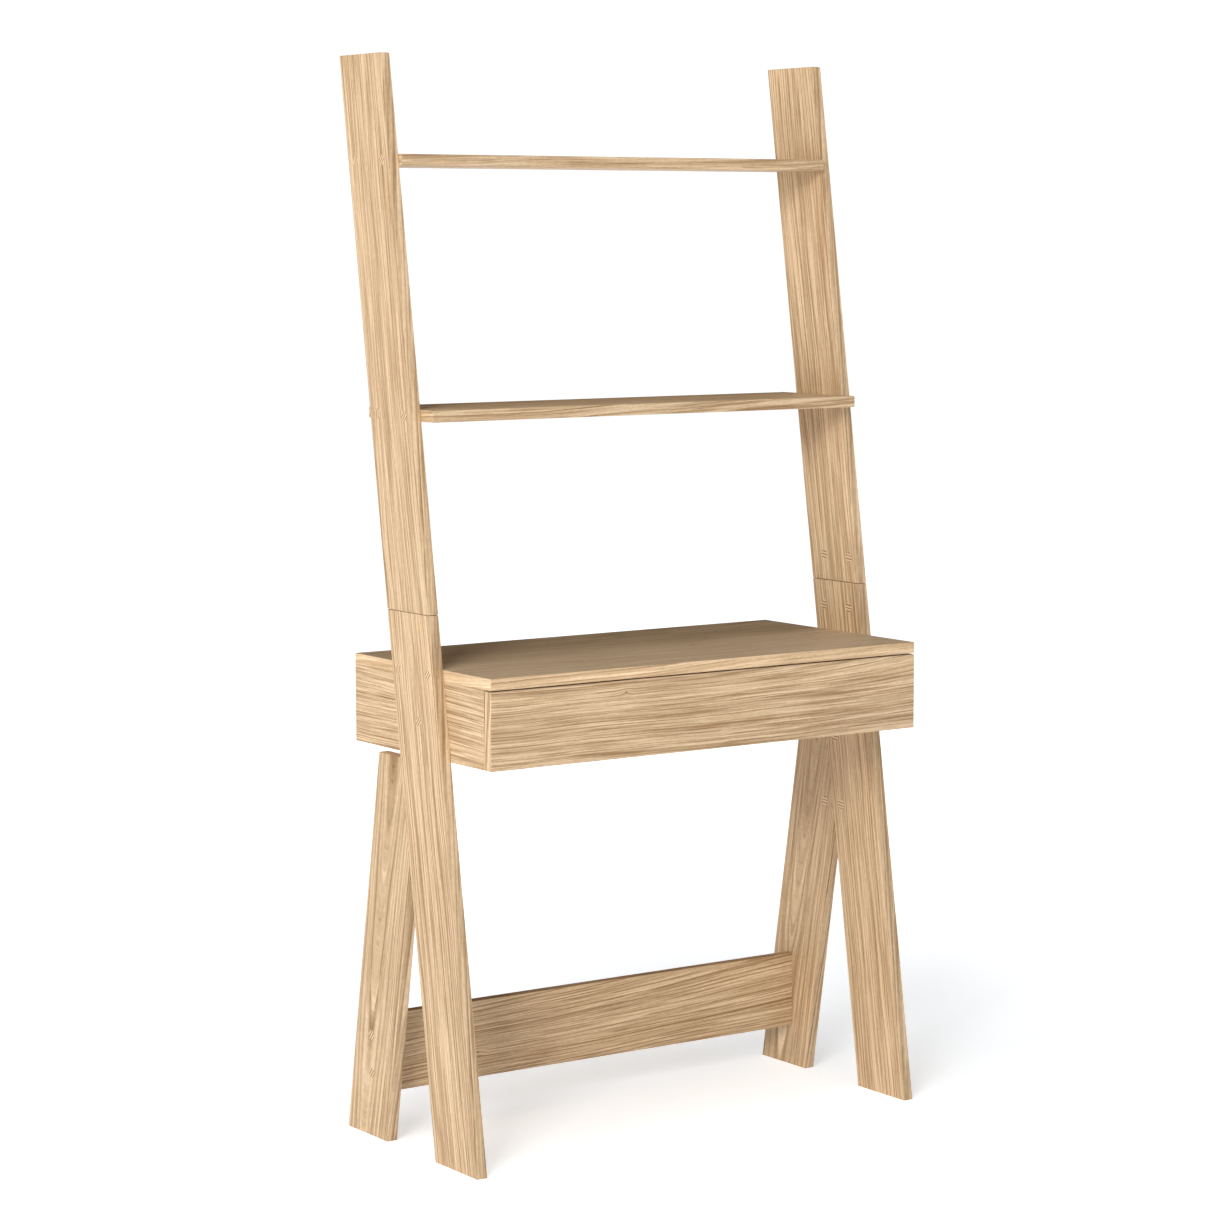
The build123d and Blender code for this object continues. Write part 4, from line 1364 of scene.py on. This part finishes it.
@dataclass(frozen=True)
class Runners:
    """The ball-bearing runners: rolled rails and cages with eased edges, and their balls."""

    ball: float = 2.0 * MM
    ball_in: float = 383.0 * MM
    row: float = 14.2 * MM
    first: float = -48.0 * MM
    pitch: float = 11.0 * MM
    count: int = 8
    ease: float = 0.14 * MM
    weld: float = 1e-4 * MM
    flat_angle: float = math.radians(0.5)
    sharp_angle: float = math.radians(50)

    def build(self) -> None:
        """Builds both runners."""
        steel = RAIL_STEEL.material()
        balls = FittingTree("bearing_ball_rows", Shape.BALL, {"Radius": self.ball})
        for side, word in SIDES:
            cage = f"{word}_cage"
            for part, body in (("outer_rail", "frame"), ("inner_rail", "drawer"), ("ball_cage", cage)):
                node = f"{word}_{part}"
                place(self.eased(node, steel), body, "runner_steel", node)
            x, rows = side * self.ball_in, [(k, SIZES.rail_axis + k * self.row) for k in (-1, 1)]
            places = [self.first + self.pitch * i for i in range(self.count)]
            spots = [Spot((x, y, z), (0, 0, k), (1, 0, 0)) for k, z in rows for y in places]
            made = balls.set_out(f"{word}_ball_rows", spots, BALL_STEEL.material())
            place(made, cage, "bearing_steel", f"{word}_bearing_balls")

    def eased(self, node: str, finish: bpy.types.Material) -> bpy.types.Object:
        """Copies a rolled section and rounds its sheared edges.

        Args:
            node: The node that gives the section.
            finish: Its material.

        Returns:
            The eased object.
        """
        shell = bmesh.new()
        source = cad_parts[node]
        shell.from_mesh(source.data)
        shell.transform(source.matrix_world)
        bmesh.ops.remove_doubles(shell, verts=shell.verts, dist=self.weld)
        bmesh.ops.dissolve_limit(shell, angle_limit=self.flat_angle, verts=shell.verts, edges=shell.edges)
        sharp = [e for e in shell.edges if len(e.link_faces) == 2 and e.calc_face_angle(0.0) > self.sharp_angle]
        bmesh.ops.bevel(
            shell, geom=sharp, offset=self.ease, segments=2, profile=0.5, affect="EDGES", clamp_overlap=True)
        for face in shell.faces:
            face.smooth = True
            face.material_index = 0
        piece = mesh_object(node + "_section", shell)
        piece.data.materials.clear()
        piece.data.materials.append(finish)
        return weighted(piece)


# ---- Studio ----


@dataclass(frozen=True)
class Lamp:
    """One soft square light that points at the desk."""

    name: str
    spot: Triple
    size: float
    power: float
    tint: Triple = (1, 1, 1)
    aim: Triple = (0, 0, 0.8)

    def build(self) -> None:
        """Adds the light."""
        light = bpy.data.lights.new(self.name, "AREA")
        light.shape, light.size, light.energy, light.color = "SQUARE", self.size, self.power, self.tint
        stand = bpy.data.objects.new(self.name, light)
        stand.location = self.spot
        stand.rotation_euler = (Vector(self.aim) - Vector(self.spot)).to_track_quat("-Z", "Y").to_euler()
        stand.visible_camera = False
        COLLECTION.objects.link(stand)


@dataclass(frozen=True)
class Studio:
    """The pale floor, the soft lights and the camera."""

    place: Triple = (-3.08542, -4.43164, 1.41445)
    yaw: float = 0.59930056
    pitch: float = 0.10783377
    roll: float = -0.00239736
    lens: float = 100.48
    sky: float = 0.02
    backdrop: float = 1.05
    floor_size: float = 30.0
    floor_tints: tuple[Colour, Colour] = ((0.775, 0.795, 0.815, 1), (0.795, 0.815, 0.835, 1))
    floor_glow: tuple[float, ...] = (0.75, 2.7, 0.56, 1.02)
    lamps: tuple[Lamp, ...] = (
        Lamp("key", (-7.2, -5.8, 4.45), 3.0, 588.0),
        Lamp("side_key", (-9.0, -2.7, 4.0), 3.0, 190.0),
        Lamp("side", (-9.6, 1.1, 3.2), 3.0, 115.0),
        Lamp("right", (8.4, -6.1, 2.6), 5.0, 90.0),
        Lamp("top", (-1.0, -1.0, 7.2), 4.2, 205.0, (0.97, 1.0, 1.03)),
    )

    def build(self) -> None:
        """Sets up the floor, the lights and the camera."""
        self.floor()
        self.surround()
        for lamp in self.lamps:
            lamp.build()
        self.camera()
        bpy.context.scene.view_settings.view_transform = "Standard"

    def floor(self) -> None:
        """Lays the floor, which glows more the farther it is from the desk."""
        shell = bmesh.new()
        bmesh.ops.create_grid(shell, x_segments=1, y_segments=1, size=self.floor_size)
        piece = mesh_object("studio_floor", shell)
        surface = Surface("studio_floor")
        w = surface.wiring
        spot = w.out("ShaderNodeTexCoord", port="Object")
        tint = w.blend(w.noise(spot, 2.0, 0.5, 1.3), *self.floor_tints)
        away = w.out("ShaderNodeVectorMath", {0: spot}, "Value", operation="LENGTH")
        surface.feed(Emission_Color=WHITE, Emission_Strength=w.step(away, *self.floor_glow))
        surface.feed(Base_Color=tint, Roughness=0.9, Specular_IOR_Level=0.0)
        piece.data.materials.append(surface.material)

    def surround(self) -> None:
        """Sets an even surround that looks white and lights gently."""
        world = bpy.data.worlds.new("studio")
        bpy.context.scene.world = world
        world.use_nodes = True
        world.node_tree.nodes.clear()
        w = Wiring(world.node_tree)
        levels = (self.sky, self.backdrop)
        soft, seen = (w.out("ShaderNodeBackground", {"Color": WHITE, "Strength": level}) for level in levels)
        feeds = {0: w.out("ShaderNodeLightPath", port="Is Camera Ray"), 1: soft, 2: seen}
        w.node("ShaderNodeOutputWorld", {0: w.out("ShaderNodeMixShader", feeds)})

    def camera(self) -> None:
        """Sets the camera."""
        level, down = math.cos(self.pitch), math.sin(self.pitch)
        forward = Vector((math.sin(self.yaw) * level, math.cos(self.yaw) * level, -down))
        right = Vector((math.cos(self.yaw), -math.sin(self.yaw), 0))
        up = right.cross(forward)
        turned = right * math.cos(self.roll) + up * math.sin(self.roll)
        upright = up * math.cos(self.roll) - right * math.sin(self.roll)
        lens = bpy.data.cameras.new("camera")
        lens.sensor_width, lens.lens, lens.clip_end = 36.0, self.lens, 200.0
        camera = bpy.data.objects.new("camera", lens)
        rows = zip(turned, upright, -forward, self.place)
        camera.matrix_world = Matrix((*rows, (0, 0, 0, 1)))
        COLLECTION.objects.link(camera)
        bpy.context.scene.camera = camera


def main() -> None:
    logging.basicConfig(level=logging.INFO, format="%(name)s: %(message)s")
    # Each side frame's last two numbers are painted light levels that scale its upper and lower stile's colours:
    # painted light and shade.
    frames = (SideFrame(-1, "left", 2.0, 0.965, 1.055), SideFrame(1, "right", 31.0, 1.03, 1.045))
    for assembly in (Studio(), *frames, Crosspieces(), DeskBox(), Drawer(), Fittings(), Runners()):
        assembly.build()


if __name__ == "__main__":
    main()
